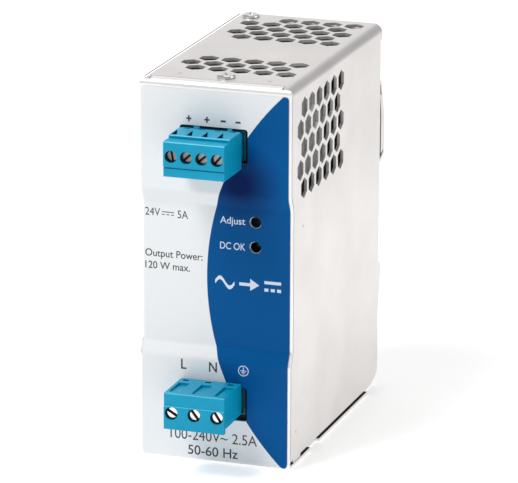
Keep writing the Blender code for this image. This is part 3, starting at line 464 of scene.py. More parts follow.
VENT_PITCH = 7.5
VENT_ROW = VENT_PITCH * math.sqrt(3) / 2
VENT_FLAT = 5.9
VENT_RADIUS = VENT_FLAT / 2 / math.cos(math.radians(30))


def hexagon(a, b, point_along_a):
    """One vent around (a, b), its points along a or along b."""
    first = 0 if point_along_a else 90
    turns = [math.radians(first + 60 * i) for i in range(6)]
    return [(a + VENT_RADIUS * math.cos(t), b + VENT_RADIUS * math.sin(t)) for t in turns]


def flat_vents():
    """(x, y) of every vent in the top; the floor has the same ones."""
    spots = []
    for first_y, counts in ((18.0, [5, 5, 5]), (62.6, [5, 5, 5, 5, 4])):
        for row, count in enumerate(counts):
            first_x = -12.7 - (VENT_PITCH / 2 if row % 2 else 0) + (VENT_PITCH if count == 4 else 0)
            spots += [(first_x + VENT_PITCH * i, first_y + VENT_ROW * row) for i in range(count)]
    return spots


def panel_openings(peep_radius):
    """The two header slots and the two round holes of the panel, on the flat blank."""
    openings = []
    for run, slot in ((upper_run, OUTPUT_SLOT_Z), (lower_run, INPUT_SLOT_Z)):
        openings.append(rounded_rect((down_panel(run, slot[1]), down_panel(run, slot[0])), SLOT_X, 1.0))
    return openings + [circle(down_panel(middle_run, z), x, peep_radius) for x, z in PEEP.values()]


def mirrored(points):
    """A half outline with its mirror image across the middle of the sheet, as (distance, across)."""
    return points + [(distance, -across) for distance, across in reversed(points)]


half_width = WIDTH / 2
flange_half, notch_half, rear_half = half_width - 3.3, half_width - 1.3, half_width - 1.8
chassis_outline = mirrored([
    (0.0, flange_half), (2.6, flange_half), (2.6, half_width - 0.5), (3.1, half_width),
    (along_floor(21.3), half_width), (along_floor(21.3), notch_half), (along_floor(30.6), notch_half),
    (along_floor(30.6), half_width), (along_floor(82.5), half_width), (along_floor(82.5), rear_half),
    (up_back(HEIGHT - 1.6), rear_half),
])
chassis_holes = [hexagon(along_floor(y), x, True) for x, y in flat_vents()]
chassis_holes += panel_openings(PEEP_RADIUS)
for x in (-15.0, 15.0):
    chassis_holes.append(circle(up_back(98.0), x, 1.8))


def folded(bm, line, place):
    """Folds a blank: place turns (across, point on the line) into a case position."""
    for v in bm.verts:
        v.co = place(v.co.y, on_line(line, v.co.x, v.co.z))
    bmesh.ops.recalc_face_normals(bm, faces=bm.faces)


def paint_inside_shade(bm):
    """Gives the inner side of a flat blank the second material, a dark painted shade of the unlit inside."""
    for face in bm.faces:
        if all(v.co.z < 0.01 - HALF_SHEET for v in face.verts):
            face.material_index = 1


chassis_bm = punched_blank(chassis_outline, chassis_holes, -HALF_SHEET, HALF_SHEET)
# The inner side takes the dark painted shade.
paint_inside_shade(chassis_bm)
crease(chassis_bm, bend_stations(chassis_line))
folded(chassis_bm, chassis_line, lambda across, point: (across, point.x, point.y))
print(f"chassis blank {up_back(HEIGHT - 1.6):.1f} x {WIDTH:.1f} mm")
add_piece("chassis_sheet", chassis_bm, steel_panel, "case", ["chassis"], others=[steel_inside_shade])

# %% [markdown]
# ## Cover: an inverted U
# The cover is folded over the top and both sides. Its front edges follow the panel's steps with a narrow
# gap, which shows as a thin seam, and a flange turns in at the back of each side. The vents are punched in
# the blank before it is bent, five staggered rows on each side and two groups in the top.
# %% Cover
COVER_BACK = node_box("housing_cover")[1].y
COVER_BEND = 2.5
SEAM = 0.3
FOOT = 2.3
FLANGE_BEND = 1.5
FLANGE_WIDTH = 5.0
side_x, top_z = half_width - HALF_SHEET, HEIGHT - HALF_SHEET
cover_corners = [(side_x, 0.0), (side_x, top_z), (-side_x, top_z), (-side_x, 0.0)]
cover_line = fold_line(cover_corners, [COVER_BEND, COVER_BEND])
top_run = cover_line[2]
girth = cover_line[-1]["start"] + cover_line[-1]["length"]
flange_start = COVER_BACK - HALF_SHEET - FLANGE_BEND
flange_arc = FLANGE_BEND * math.pi / 2

front_line = fold_line([(near, HEIGHT), *panel_corners, (near, 0.0)], [STEP_RADIUS] * 4)
front_edge = [on_line(front_line, s, -HALF_SHEET - SEAM) for s in bend_stations(front_line)][::-1]
seam_y = HALF_SHEET + HALF_SHEET + SEAM

tip = flange_start + flange_arc + FLANGE_WIDTH
half_outline = [
    (84.0, FOOT), (11.0, FOOT), (11.0, FOOT - 1.0), (4.0, FOOT - 1.0), (4.0, FOOT), (seam_y, FOOT),
    *[(point.x, point.y) for point in front_edge],
    (seam_y, top_run["start"]), (PANEL_FLANGE + SEAM, top_run["start"]),
]
rear_outline = [(COVER_BACK, 118.4), (flange_start, 118.4), (flange_start, 117.8), (tip, 117.8), (tip, 8.0),
                (flange_start, 8.0), (flange_start, 5.2), (91.5, 4.0), (88.0, 2.9)]
right_side = [(distance, y) for y, distance in half_outline]
left_side = [(girth - distance, y) for distance, y in reversed(right_side)]
right_rear = [(distance, y) for y, distance in rear_outline]
left_rear = [(girth - distance, y) for distance, y in reversed(right_rear)]
cover_outline = right_side + left_side + left_rear + right_rear

cover_holes = []
for x, y in flat_vents():
    cover_holes.append(hexagon(top_run["start"] + top_run["at"].x - x, y, False))
side_vents = [(13.2 - (VENT_PITCH / 2 if row % 2 else 0) + VENT_PITCH * i, 115.0 - VENT_ROW * row)
              for row in range(5) for i in range(6)]
for y, z in side_vents:
    cover_holes += [hexagon(z, y, True), hexagon(girth - z, y, True)]
COVER_SCREWS = {"front": (0.8, 8.6), "rear": (-19.0, 90.5)}
for x, y in COVER_SCREWS.values():
    cover_holes.append(circle(top_run["start"] + top_run["at"].x - x, y, 1.7))
side_dimples = [(12.8, 76.8), (6.5, 10.9)]
top_dimples = [(-14.7, 9.0), (15.4, 8.0)]
cover_dimples = [((z, y), 0.9, 0.3) for y, z in side_dimples]
cover_dimples += [((girth - z, y), 0.9, 0.3) for y, z in side_dimples]
cover_dimples += [((top_run["start"] + top_run["at"].x - x, y), 1.0, 0.3) for x, y in top_dimples]

cover_bm = punched_blank(cover_outline, cover_holes, -HALF_SHEET, HALF_SHEET, dimples=cover_dimples)
# The inner side takes the dark painted shade.
paint_inside_shade(cover_bm)
crease(cover_bm, bend_stations(cover_line))
crease(cover_bm, [flange_start + flange_arc * i / 6 for i in range(7)], way=(0, 1, 0))


def turned_in(co):
    """Rolls the rear edge of a side inwards by 90 degrees; the top runs straight on."""
    height = co.x if co.x < girth / 2 else girth - co.x
    if co.y <= flange_start or height > 118.0:
        return co
    turn = min((co.y - flange_start) / FLANGE_BEND, math.pi / 2)
    beyond = max(0.0, co.y - flange_start - flange_arc)
    radius = FLANGE_BEND + co.z
    lift = radius * math.cos(turn) - FLANGE_BEND - beyond
    return Vector((co.x, flange_start + radius * math.sin(turn), lift))


for v in cover_bm.verts:
    v.co = turned_in(v.co)
folded(cover_bm, cover_line, lambda across, point: (point.x, across, point.y))
print(f"cover blank {girth:.1f} x {tip:.1f} mm")
add_piece("cover_sheet", cover_bm, steel_cover, "case", ["housing_cover"],
          others=[steel_inside_shade])

# %% [markdown]
# ## Label
# A printed film covers the panel and follows its steps, so it is folded on the same line, lifted off the
# sheet. The print has a pale field on the left and a blue one on the right, which meet on an arc of a
# large circle. The arc is worked out in the material from the distance to that circle's centre. Around a
# point under the output plug the blue darkens to navy: a painted shadow of the plug.
# %% Label film
FILM_LOW, FILM_HIGH = HALF_SHEET + 0.1, HALF_SHEET + 0.35
ARC_CENTRE = (80.9, 60.75)
ARC_RADIUS = 84.0
# Centre of the painted shadow that the output plug casts on the blue field.
PLUG_SHADOW_CENTRE = (8.0, 92.0)


def distance_from(tree, centre):
    """Socket with the distance, in metres, from a point (x, z) of the panel."""
    place = tree.nodes.new("ShaderNodeTexCoord")
    origin = TO_WORLD @ Vector((centre[0], 0, centre[1]))
    shift = node(tree, "ShaderNodeMapping", Location=(-origin.x, 0, -origin.z), Scale=(1, 0, 1))
    tree.links.new(place.outputs["Object"], shift.inputs["Vector"])
    reach = tree.nodes.new("ShaderNodeVectorMath")
    reach.operation = "LENGTH"
    tree.links.new(shift.outputs["Vector"], reach.inputs[0])
    return reach.outputs["Value"]


def label_film():
    """Pale and blue print under a satin laminate, with the arc between them, and a painted shadow of the
    output plug that darkens the blue to navy.
    """
    made, tree, shader = new_material("printed_film")
    from_centre = distance_from(tree, ARC_CENTRE)
    edge = remap(tree, from_centre, 1, 0, (ARC_RADIUS - 0.04) * MM, (ARC_RADIUS + 0.04) * MM)
    space = object_space(tree)
    mottle = remap(tree, noise(tree, space, 1600.0, 3.0), 0, 1)
    blue = blend_colours(tree, mottle, (0.0006, 0.078, 0.262), (0.0010, 0.086, 0.282))
    # Painted shadow of the output plug: the blue darkens to navy within 15 mm of a point under it.
    plug_shadow_mask = remap(tree, distance_from(tree, PLUG_SHADOW_CENTRE), 1, 0, 3.0 * MM, 15.0 * MM)
    blue = blend_colours(tree, plug_shadow_mask, blue, (0.0001, 0.012, 0.085))
    pale = blend_colours(tree, mottle, (0.76, 0.775, 0.785), (0.79, 0.80, 0.81))
    tree.links.new(blend_colours(tree, edge, pale, blue), shader.inputs["Base Color"])
    shader.inputs["Specular IOR Level"].default_value = 0.05
    orange_peel = noise(tree, space, 700.0, 2.0)
    tree.links.new(remap(tree, orange_peel, 0.30, 0.38), shader.inputs["Roughness"])
    bump(tree, shader, orange_peel, 0.2, 0.00002)
    return made


printed_film = label_film()
label_low, label_high = node_box("front_label")
film_top, film_bottom = down_panel(upper_run, label_high.z), down_panel(lower_run, label_low.z + 0.1)
label_outline = rounded_rect((film_top, film_bottom), (label_low.x, label_high.x), 1.0)
label_holes = panel_openings(PEEP_RADIUS + 0.14)
label_bm = punched_blank(label_outline, label_holes, FILM_LOW, FILM_HIGH, rounding=0.04)
crease(label_bm, bend_stations(chassis_line))
folded(label_bm, chassis_line, lambda across, point: (across, point.x, point.y))
print(f"label film {film_bottom - film_top:.1f} x {label_high.x - label_low.x:.1f} mm")
add_piece("printed_label", label_bm, printed_film, "case", ["front_label"])

# %% [markdown]
# ## Print
# Every mark is ink: a thin flat mesh a fiftieth of a millimetre proud of the film. Lettering is fitted to
# a width and a capital height. The direct-current sign, the earth sign and the converter sign are drawn
# from bars, rings and an arrow. The converter sign only says what the unit does: alternating current in,
# direct current out.
# %% Lettering
FILM_FACE = near - FILM_HIGH
RECESSED_FACE = FILM_FACE + RECESS
INK = 0.02


def glyph_mesh(text, weight):
    """Flat outline of a text as a bmesh, in font units."""
    curve = bpy.data.curves.new("lettering", "FONT")
    curve.body = text
    curve.offset = weight
    typed = bpy.data.objects.new("lettering", curve)
    scene.collection.objects.link(typed)
    flat = bpy.data.meshes.new_from_object(typed.evaluated_get(bpy.context.evaluated_depsgraph_get()))
    bm = bmesh.new()
    bm.from_mesh(flat)
    bpy.data.objects.remove(typed)
    bpy.data.curves.remove(curve)
    bpy.data.meshes.remove(flat)
    return bm


capital = glyph_mesh("H", 0.0)
CAPITAL = max(v.co.y for v in capital.verts)
capital.free()
print(f"a capital is {CAPITAL:.3f} of the font's height")


def inked(bm, name, face_y, ink):
    """Gives a flat drawing in (x, z) its thickness and lays it on the film."""
    grown = bmesh.ops.extrude_face_region(bm, geom=bm.faces[:])["geom"]
    bmesh.ops.translate(bm, verts=[g for g in grown if isinstance(g, bmesh.types.BMVert)], vec=(0, 0, 1))
    for v in bm.verts:
        v.co = Vector((v.co.x, face_y - INK * v.co.z, v.co.y))
    bmesh.ops.recalc_face_normals(bm, faces=bm.faces)
    add_piece(name, bm, ink, "case")


def lettering(name, text, across, base, height, face_y, ink, weight=0.0):
    """Prints a text between two x positions, its capitals standing on `base`."""
    bm = glyph_mesh(text, weight)
    start, end = min(v.co.x for v in bm.verts), max(v.co.x for v in bm.verts)
    stretch = (across[1] - across[0]) / (end - start)
    for v in bm.verts:
        v.co = Vector((across[0] + (v.co.x - start) * stretch, base + v.co.y * height / CAPITAL, 0.0))
    inked(bm, name, face_y, ink)


def add_bar(bm, a, b):
    bm.faces.new([bm.verts.new((x, z, 0)) for x, z in rectangle(a, b)])


def add_ring(bm, a, b, radius, width, count=40):
    inner = [bm.verts.new((*point, 0)) for point in circle(a, b, radius - width, count)]
    outer = [bm.verts.new((*point, 0)) for point in circle(a, b, radius, count)]
    for i in range(count):
        bm.faces.new((inner[i - 1], outer[i - 1], outer[i], inner[i]))


def direct_current_bars(bm, a, centre, thick, spread):
    """A full bar above a bar of three dashes."""
    add_bar(bm, a, (centre + spread / 2 - thick / 2, centre + spread / 2 + thick / 2))
    dash = (a[1] - a[0]) / 4.2
    for start in (a[0], (a[0] + a[1] - dash) / 2, a[1] - dash):
        add_bar(bm, (start, start + dash), (centre - spread / 2 - thick / 2, centre - spread / 2 + thick / 2))


# %% Marks on the panel
for number, x in enumerate((-8.4, -2.45), start=1):
    plus = bmesh.new()
    add_bar(plus, (x - 0.85, x + 0.85), (111.6, 112.1))
    add_bar(plus, (x - 0.25, x + 0.25), (112.1, 112.8))
    add_bar(plus, (x - 0.25, x + 0.25), (110.9, 111.6))
    inked(plus, f"plus_sign_{number}", FILM_FACE, black_ink)
for number, x in enumerate((2.9, 7.75), start=1):
    minus = bmesh.new()
    add_bar(minus, (x - 0.85, x + 0.85), (111.5, 112.1))
    inked(minus, f"minus_sign_{number}", FILM_FACE, black_ink)

lettering("volts", "24V", (-23.7, -18.7), 78.9, 2.5, RECESSED_FACE, black_ink)
lettering("amperes", "5A", (-12.9, -9.4), 78.7, 2.5, RECESSED_FACE, black_ink)
dc_sign = bmesh.new()
direct_current_bars(dc_sign, (-18.1, -14.1), 79.9, 0.26, 0.85)
inked(dc_sign, "direct_current_sign", RECESSED_FACE, black_ink)
lettering("power_title", "Output Power:", (-23.7, -4.6), 65.6, 2.3, RECESSED_FACE, black_ink, 0.006)
lettering("power_value", "120 W max.", (-23.7, -8.8), 61.6, 2.3, RECESSED_FACE, black_ink, 0.006)
lettering("adjust_text", "Adjust", (1.2, 9.5), 78.5, 2.2, RECESSED_FACE, white_ink, 0.008)
lettering("lamp_text", "DC OK", (1.2, 9.6), 70.2, 2.2, RECESSED_FACE, white_ink, 0.008)

converter = bmesh.new()
add_bar(converter, (7.6, 11.2), (58.75, 59.75))
converter.faces.new([converter.verts.new((x, z, 0)) for x, z in ((11.2, 57.3), (14.2, 59.25), (11.2, 61.2))])
direct_current_bars(converter, (15.9, 21.4), 59.25, 1.0, 2.4)
inked(converter, "converter_sign", RECESSED_FACE, white_ink)
wave = bmesh.new()
wave_edges = []
for rail in (0.62, -0.62):
    points = [(-0.4 + 6.4 * i / 32, 59.25 + 1.5 * math.sin(math.tau * i / 32) + rail) for i in range(33)]
    wave_edges.append([wave.verts.new((x, z, 0)) for x, z in points])
for i in range(32):
    top_edge, low_edge = wave_edges
    wave.faces.new((low_edge[i], low_edge[i + 1], top_edge[i + 1], top_edge[i]))
inked(wave, "alternating_current_sign", RECESSED_FACE, white_ink)

lettering("line_letter", "L", (-11.1, -9.3), 30.1, 3.2, FILM_FACE, black_ink, 0.012)
lettering("neutral_letter", "N", (-1.75, 0.9), 30.0, 3.2, FILM_FACE, black_ink, 0.012)
earth = bmesh.new()
add_ring(earth, 9.7, 31.4, 1.75, 0.26)
add_bar(earth, (9.58, 9.82), (31.55, 32.6))
for half, height in ((1.0, 31.3), (0.66, 30.8), (0.3, 30.3)):
    add_bar(earth, (9.7 - half, 9.7 + half), (height, height + 0.25))
inked(earth, "earth_sign", FILM_FACE, white_ink)
lettering("input_rating", "100-240V~ 2.5A", (-14.7, 14.3), 6.8, 3.35, FILM_FACE, black_ink)
lettering("frequency", "50-60 Hz", (-8.8, 7.9), 2.0, 3.0, FILM_FACE, black_ink, 0.008)

# %% [markdown]
# ## Plugs
# Each plug is a moulded block. Its side outline is drawn once and pulled across, its edges are rounded,
# and then wells are sunk into its flat faces: the face is refilled around the mouths, and each well goes
# down in rings. The rounded front top edges take a lighter teal, a painted highlight, and the screw wells
# and small pits a dark teal, painted shade.
# %% Moulding helpers
def prism(bm, outline, x):
    """Adds the block that an outline in (y, z) makes between two x positions."""
    near_end = [bm.verts.new((x[0], y, z)) for y, z in outline]
    far_end = [bm.verts.new((x[1], y, z)) for y, z in outline]
    bm.faces.new(near_end)
    bm.faces.new(far_end[::-1])
    for i in range(len(outline)):
        bm.faces.new((near_end[i - 1], far_end[i - 1], far_end[i], near_end[i]))
    bmesh.ops.recalc_face_normals(bm, faces=bm.faces)


def block(bm, x, y, z, edge=0.0):
    """A box with rounded edges, added to a bmesh."""
    verts = bmesh.ops.create_cube(bm, size=1.0)["verts"]
    bmesh.ops.scale(bm, verts=verts, vec=(x[1] - x[0], y[1] - y[0], z[1] - z[0]))
    bmesh.ops.translate(bm, verts=verts, vec=(sum(x) / 2, sum(y) / 2, sum(z) / 2))
    if edge:
        edges = list({e for v in verts for e in v.link_edges})
        soften(bm, edges, edge)


def soften(bm, edges, width, segments=2, material=-1):
    bmesh.ops.bevel(bm, geom=edges, offset=width, offset_type="OFFSET", segments=segments, profile=0.5,
                    affect="EDGES", clamp_overlap=True, material=material)


def long_edges(bm, *lines):
    """Edges that run along x on the given (y, z) lines."""
    return [e for e in bm.edges if any(all(abs(v.co.y - y) < 0.01 and abs(v.co.z - z) < 0.01 for v in e.verts)
                                       for y, z in lines)]


def sharp_edges(bm, degrees=30):
    return [e for e in bm.edges if e.calc_face_angle(0.0) > math.radians(degrees)]


def sink(bm, axis, level, wells, lip=0.06, shade=0):
    """Sinks wells into the flat face at a level along an axis. A well is a list of rings, and the first ring
    lies in the face. The faces of the wells take the material numbered `shade`."""
    flat = [f for f in bm.faces if all(abs(v.co[axis] - level) < 1e-4 for v in f.verts)]
    edges = [e for e in {e for f in flat for e in f.edges} if sum(f in flat for f in e.link_faces) == 1]
    bmesh.ops.delete(bm, geom=flat, context="FACES")
    mouths = []
    for rings in wells:
        loops = [[bm.verts.new(point) for point in ring] for ring in rings]
        first = loops[0]
        mouths += [bm.edges.new((first[i - 1], first[i])) for i in range(len(first))]
        for upper, lower in zip(loops, loops[1:]):
            for i in range(len(upper)):
                bm.faces.new((upper[i - 1], upper[i], lower[i], lower[i - 1])).material_index = shade
        bm.faces.new(loops[-1]).material_index = shade
    normal = [0.0, 0.0, 0.0]
    normal[axis] = 1.0
    bmesh.ops.triangle_fill(bm, use_beauty=True, use_dissolve=False, edges=edges + mouths, normal=normal)
    bmesh.ops.recalc_face_normals(bm, faces=bm.faces)
    if lip:
        soften(bm, mouths, lip, 1)


def turned(bm, at, profile, steps=24, axis="y"):
    """Spins a profile of (distance along, radius) about an axis through `at`."""
    way, side = Vector((0, 1, 0)), Vector((0, 0, 1))
    if axis == "z":
        way, side = Vector((0, 0, 1)), Vector((1, 0, 0))
    points = [Vector(at) + way * along + side * radius for along, radius in profile]
    verts = [bm.verts.new(point) for point in points]
    edges = [bm.edges.new(pair) for pair in zip(verts, verts[1:])]
    bmesh.ops.spin(bm, geom=verts + edges, cent=at, axis=way, angle=math.tau, steps=steps, use_merge=True)
    bmesh.ops.remove_doubles(bm, verts=bm.verts, dist=1e-5)
    bmesh.ops.recalc_face_normals(bm, faces=bm.faces)


print("moulding helpers ready")

# %% Plug bodies
PLUG_X = (-10.8, 9.2)
PLUG_MIDDLE = sum(PLUG_X) / 2
PLUG_FRONT, SHOULDER, NOSE_END = -17.5, -1.0, 8.5
PLUGS = {
    "output": {"pin_z": 104.0, "up": 1, "pitch": 5.0, "poles": 4, "head": -16.0,
               "slots": (80, 138, 140, 130)},
    "input": {"pin_z": 20.4, "up": -1, "pitch": 7.5, "poles": 3, "head": -16.4, "slots": (30, 52, 57)},
}
for plug in PLUGS.values():
    plug["x"] = [PLUG_MIDDLE + plug["pitch"] * (i - (plug["poles"] - 1) / 2) for i in range(plug["poles"])]
    plug["screw_z"] = plug["pin_z"] - 0.3 * plug["up"]


def well(x, z, rings):
    """Round well in the front face: (y, radius) for each ring."""
    return [[(x + a, y, z + b) for a, b in circle(0, 0, radius, 28)] for y, radius in rings]


def pit(x, y, z, depths):
    """Four-sided pit in the top. The depths are those of its left front, right front, right back and left
    back corners."""
    corners = rectangle(x, y)
    return [[(a, b, z) for a, b in corners], [(a, b, z - depth) for (a, b), depth in zip(corners, depths)]]


def output_plug_mesh():
    plug = PLUGS["output"]
    pin = plug["pin_z"]
    top, ledge, step_z = pin + 5.3, pin + 4.4, pin - 3.7
    bm = bmesh.new()
    lower = step_z - 0.4
    prism(bm, [(PLUG_FRONT, step_z), (PLUG_FRONT, ledge), (-12.6, ledge), (-12.6, ledge - 0.35),
               (-12.3, ledge - 0.35), (-12.3, top), (-2.2, top), (SHOULDER, top - 0.8), (SHOULDER, pin - 6.8),
               (PLUG_FRONT + 0.25, pin - 6.8), (PLUG_FRONT + 0.25, lower), (PLUG_FRONT + 0.6, lower),
               (PLUG_FRONT + 0.6, step_z)], PLUG_X)
    # The rounded front top edges take the lighter teal, a painted highlight.
    soften(bm, long_edges(bm, (PLUG_FRONT, ledge), (-12.3, top)), 0.3, 2, 1)
    kept = long_edges(bm, (-12.6, ledge - 0.35), (-12.3, ledge - 0.35), (PLUG_FRONT + 0.6, lower),
                      (PLUG_FRONT + 0.6, step_z))
    soften(bm, [e for e in sharp_edges(bm) if e not in kept], 0.12)
    steps = [(PLUG_FRONT, 1.95), (-15.6, 1.9), (-14.4, 1.9), (-14.4, 1.3), (-14.05, 1.3)]
    wells = [well(x, plug["screw_z"], steps) for x in plug["x"]]
    # The screw wells take the dark teal: painted shade.
    sink(bm, 1, PLUG_FRONT, wells, shade=2)
    pits = []
    for x in plug["x"]:
        corner = [(x - 2.1, -11.3), (x - 0.2, -11.3), (x - 2.1, -5.2)]
        pits.append([[(a, b, z) for a, b in corner] for z in (top, top - 1.4)])
    pits += [pit((x - 0.7, x + 1.2), (-3.4, -2.6), top, (0.9,) * 4) for x in plug["x"]]
    # The pits take the dark teal too: painted shade.
    sink(bm, 2, top, pits, 0.04, 2)
    for x, half in ((-5.4, 0.9), (5.5, 0.7)):
        block(bm, (x - half, x + half), (-2.1, -1.0), (top - 0.9, top + 0.35), 0.12)
    return bm


def input_plug_mesh():
    plug = PLUGS["input"]
    pin = plug["pin_z"]
    top, step_z, low = pin + 6.8, pin + 2.6, pin - 4.9
    bm = bmesh.new()
    prism(bm, [(PLUG_FRONT, low), (PLUG_FRONT, step_z), (PLUG_FRONT + 0.3, step_z), (PLUG_FRONT + 0.3, top),
               (SHOULDER, top), (SHOULDER, pin - 3.1), (-9.5, pin - 3.4), (-16.2, pin - 3.4), (-16.2, low)],
          PLUG_X)
    # The rounded front edges take the lighter teal, a painted highlight.
    soften(bm, long_edges(bm, (PLUG_FRONT, step_z), (PLUG_FRONT + 0.3, top)), 0.25, 2, 1)
    soften(bm, sharp_edges(bm, 20), 0.12)
    steps = [(PLUG_FRONT, 2.1), (-14.4, 2.05), (-14.4, 1.3), (-14.05, 1.3)]
    wells = [well(x, plug["screw_z"], steps) for x in plug["x"]]
    # The screw wells take the dark teal: painted shade.
    sink(bm, 1, PLUG_FRONT, wells, shade=2)
    pits = [pit((x - 1.55, x + 1.95), (-15.2, -5.5), top, (0.5, 0.3, 0.6, 0.9)) for x in plug["x"]]
    sink(bm, 2, top, pits, 0.04)
    # The small pits take the dark teal: painted shade.
    sink(bm, 2, top, [pit((x - 1.3, x + 0.6), (-3.4, -2.1), top, (1.1,) * 4) for x in plug["x"]], 0.04, 2)
    return bm


def nose_mesh(bm, plug):
    """Shrouded nose with a contact channel for each pole, added behind the body."""
    nose = bmesh.new()
    screw_side, wire_side = 3.9, 4.1 if plug["up"] > 0 else 3.0
    z = sorted((plug["pin_z"] - screw_side * plug["up"], plug["pin_z"] + wire_side * plug["up"]))
    block(nose, (PLUG_X[0] + 0.5, PLUG_X[1] - 0.5), (SHOULDER - 0.3, NOSE_END), z, 0.2)
    channels = []
    for x in plug["x"]:
        ring = rectangle((x - 1.1, x + 1.1), (plug["pin_z"] - 1.7, plug["pin_z"] + 1.7))
        channels.append([[(a, y, b) for a, b in ring] for y in (NOSE_END, 0.2)])
    sink(nose, 1, NOSE_END, channels)
    merge(bm, nose)


for kind, build in (("output", output_plug_mesh), ("input", input_plug_mesh)):
    body = build()
    nose_mesh(body, PLUGS[kind])
    add_piece(f"{kind}_plug_moulding", body, teal, f"{kind}_plug", [f"{kind}_plug"],
              others=[teal_painted_highlight, teal_painted_shade])

# %% [markdown]
# ### Screws and clamps
# A screw is a turned shaft and a disc with two D-shaped lands on it, which leave the driver slot between
# them. The output screws are dark and sit deep in their wells, and the input screws are bright and sit
# less deep. Each clamp is a punched loop of plated strip around the wire space.
# %% Terminal hardware
def slot_lands(at, radius, depth, half_slot, turn, edge=0.16):
    """The two D-shaped lands of a slotted head whose face is at `at` and looks along -Y."""
    bm = bmesh.new()
    for side in (-1, 1):
        spread = math.acos(half_slot / radius)
        arc = [spread * (2 * i / 14 - 1) for i in range(15)]
        outline = [(side * radius * math.cos(t), side * radius * math.sin(t)) for t in arc]
        lower = [bm.verts.new((a, depth, b)) for a, b in outline]
        upper = [bm.verts.new((a, 0.0, b)) for a, b in outline]
        bm.faces.new(lower)
        bm.faces.new(upper[::-1])
        for i in range(len(outline)):
            bm.faces.new((lower[i - 1], upper[i - 1], upper[i], lower[i]))
    bmesh.ops.recalc_face_normals(bm, faces=bm.faces)
    soften(bm, [e for e in sharp_edges(bm) if all(v.co.y < 0.01 for v in e.verts)], edge)
    turned_over = Matrix.Rotation(math.radians(turn + 90), 4, "Y")
    bmesh.ops.transform(bm, verts=bm.verts, matrix=Matrix.Translation(at) @ turned_over)
    return bm


def screw_mesh(x, head_y, tip_y, z, turn, half_slot):
    """Slotted terminal screw; its shaft and slot floor take the second, darker finish, a painted shadow in
    the slot.
    """
    bm = bmesh.new()
    profile = [(0.9, 0.0), (0.9, 1.75), (1.35, 1.75), (1.5, 1.6), (1.5, 1.15)]
    for i in range(5):
        profile += [(1.75 + 0.5 * i, 1.15), (2.0 + 0.5 * i, 0.95)]
    turned(bm, (x, head_y, z), profile + [(tip_y - head_y, 0.95), (tip_y - head_y, 0.0)], 28)
    for face in bm.faces:
        face.material_index = 1
    merge(bm, slot_lands((x, head_y, z), 1.75, 0.95, half_slot, turn))
    return bm


# Near-black for the screw shafts and slot floors: painted shadow in the slots.
slot_shadow = rolled_metal("slot_painted_shadow", (0.05, 0.05, 0.05), 0.55, contrast=0.2)
for kind, plug in PLUGS.items():
    finish = screw_dark if kind == "output" else zinc_bright
    for number, (x, turn) in enumerate(zip(plug["x"], plug["slots"]), start=1):
        screw = f"{kind}_screw_{number}"
        tip_y = node_box(screw)[1].y
        bm = screw_mesh(x, plug["head"], tip_y, plug["screw_z"], turn, 0.3 if kind == "output" else 0.42)
        add_piece(f"{screw}_turned", bm, finish, screw, [screw], others=[slot_shadow])
        cage = f"{kind}_cage_{number}"
        outside = rectangle((x - 1.75, x + 1.75), (-12.0, -6.9))
        wire_space = rectangle((x - 1.15, x + 1.15), (-11.1, -7.8))
        loop = punched_blank(outside, [wire_space], plug["screw_z"] - 2.2, plug["screw_z"] + 2.2, 0.15)
        add_piece(f"{cage}_strip", loop, steel_clip, cage, [cage])

# %% [markdown]
# ### Headers and pins
# Behind each slot in the panel sits a thin-walled socket on the front board. Its pins come into view when
# a plug is pulled. The rim of its right wall shows as a narrow line beside the plug. The socket is a darker
# copy of the plug teal, painted shade for its place deep in the slot, and a black card behind the panel
# round each opening is painted shade of the dark inside.
# %% Headers
TUBE_Z = {"output": (0.4, 0.5), "input": (1.3, 0.4)}


def header_mesh(kind):
    """Thin-walled socket with a thick foot on the board; the socket is open towards the panel."""
    low, high = node_box(f"{kind}_header")
    wall = 0.65
    x, z = (low.x + 0.2, 9.75), (low.z + TUBE_Z[kind][0], high.z - TUBE_Z[kind][1])
    bm = bmesh.new()
    block(bm, x, (1.3, 9.8), z, 0.1)
    ring = rectangle((x[0] + wall, x[1] - wall), (z[0] + wall, z[1] - wall))
    sink(bm, 1, 1.3, [[[(a, y, b) for a, b in ring] for y in (1.3, 9.4)]])
    foot = bmesh.new()
    block(foot, (low.x, high.x), (9.7, high.y), (low.z, high.z), 0.2)
    merge(bm, foot)
    return bm


pin_finish = rolled_metal("tinned_pin", (0.78, 0.76, 0.70), 0.28)
# Near-black finish used only for painted shade: the cards behind the slots and the line on the cover's top.
painted_shadow_card = moulded("painted_shadow_card", (0.012, 0.012, 0.013), 0.8, gloss=0.15)
for kind, plug in PLUGS.items():
    # The socket takes the darker teal: painted shade.
    add_piece(f"{kind}_socket", header_mesh(kind), teal_socket_shade, "case", [f"{kind}_header"])
    pins = bmesh.new()
    for x in plug["x"]:
        block(pins, (x - 0.5, x + 0.5), (2.6, 15.4), (plug["pin_z"] - 0.5, plug["pin_z"] + 0.5), 0.15)
    add_piece(f"{kind}_pins", pins, pin_finish, "case")
    low, high = node_box(f"{kind}_header")
    opening_z = (low.z + TUBE_Z[kind][0] - 0.1, high.z - TUBE_Z[kind][1] + 0.1)
    opening = rounded_rect((low.x + 0.1, 9.9), opening_z, 0.3)
    outline = rounded_rect((-14.5, 14.0), (low.z - 2.2, high.z + 2.2), 1.0)
    # A black card behind the panel round each socket opening: painted shade of the dark inside of the case.
    card = punched_blank(outline, [opening], 1.1, 1.6, 0.05)
    for v in card.verts:
        v.co = Vector((v.co.x, v.co.z, v.co.y))
    bmesh.ops.reverse_faces(card, faces=card.faces)
    add_piece(f"{kind}_shade_card", card, painted_shadow_card, "case")

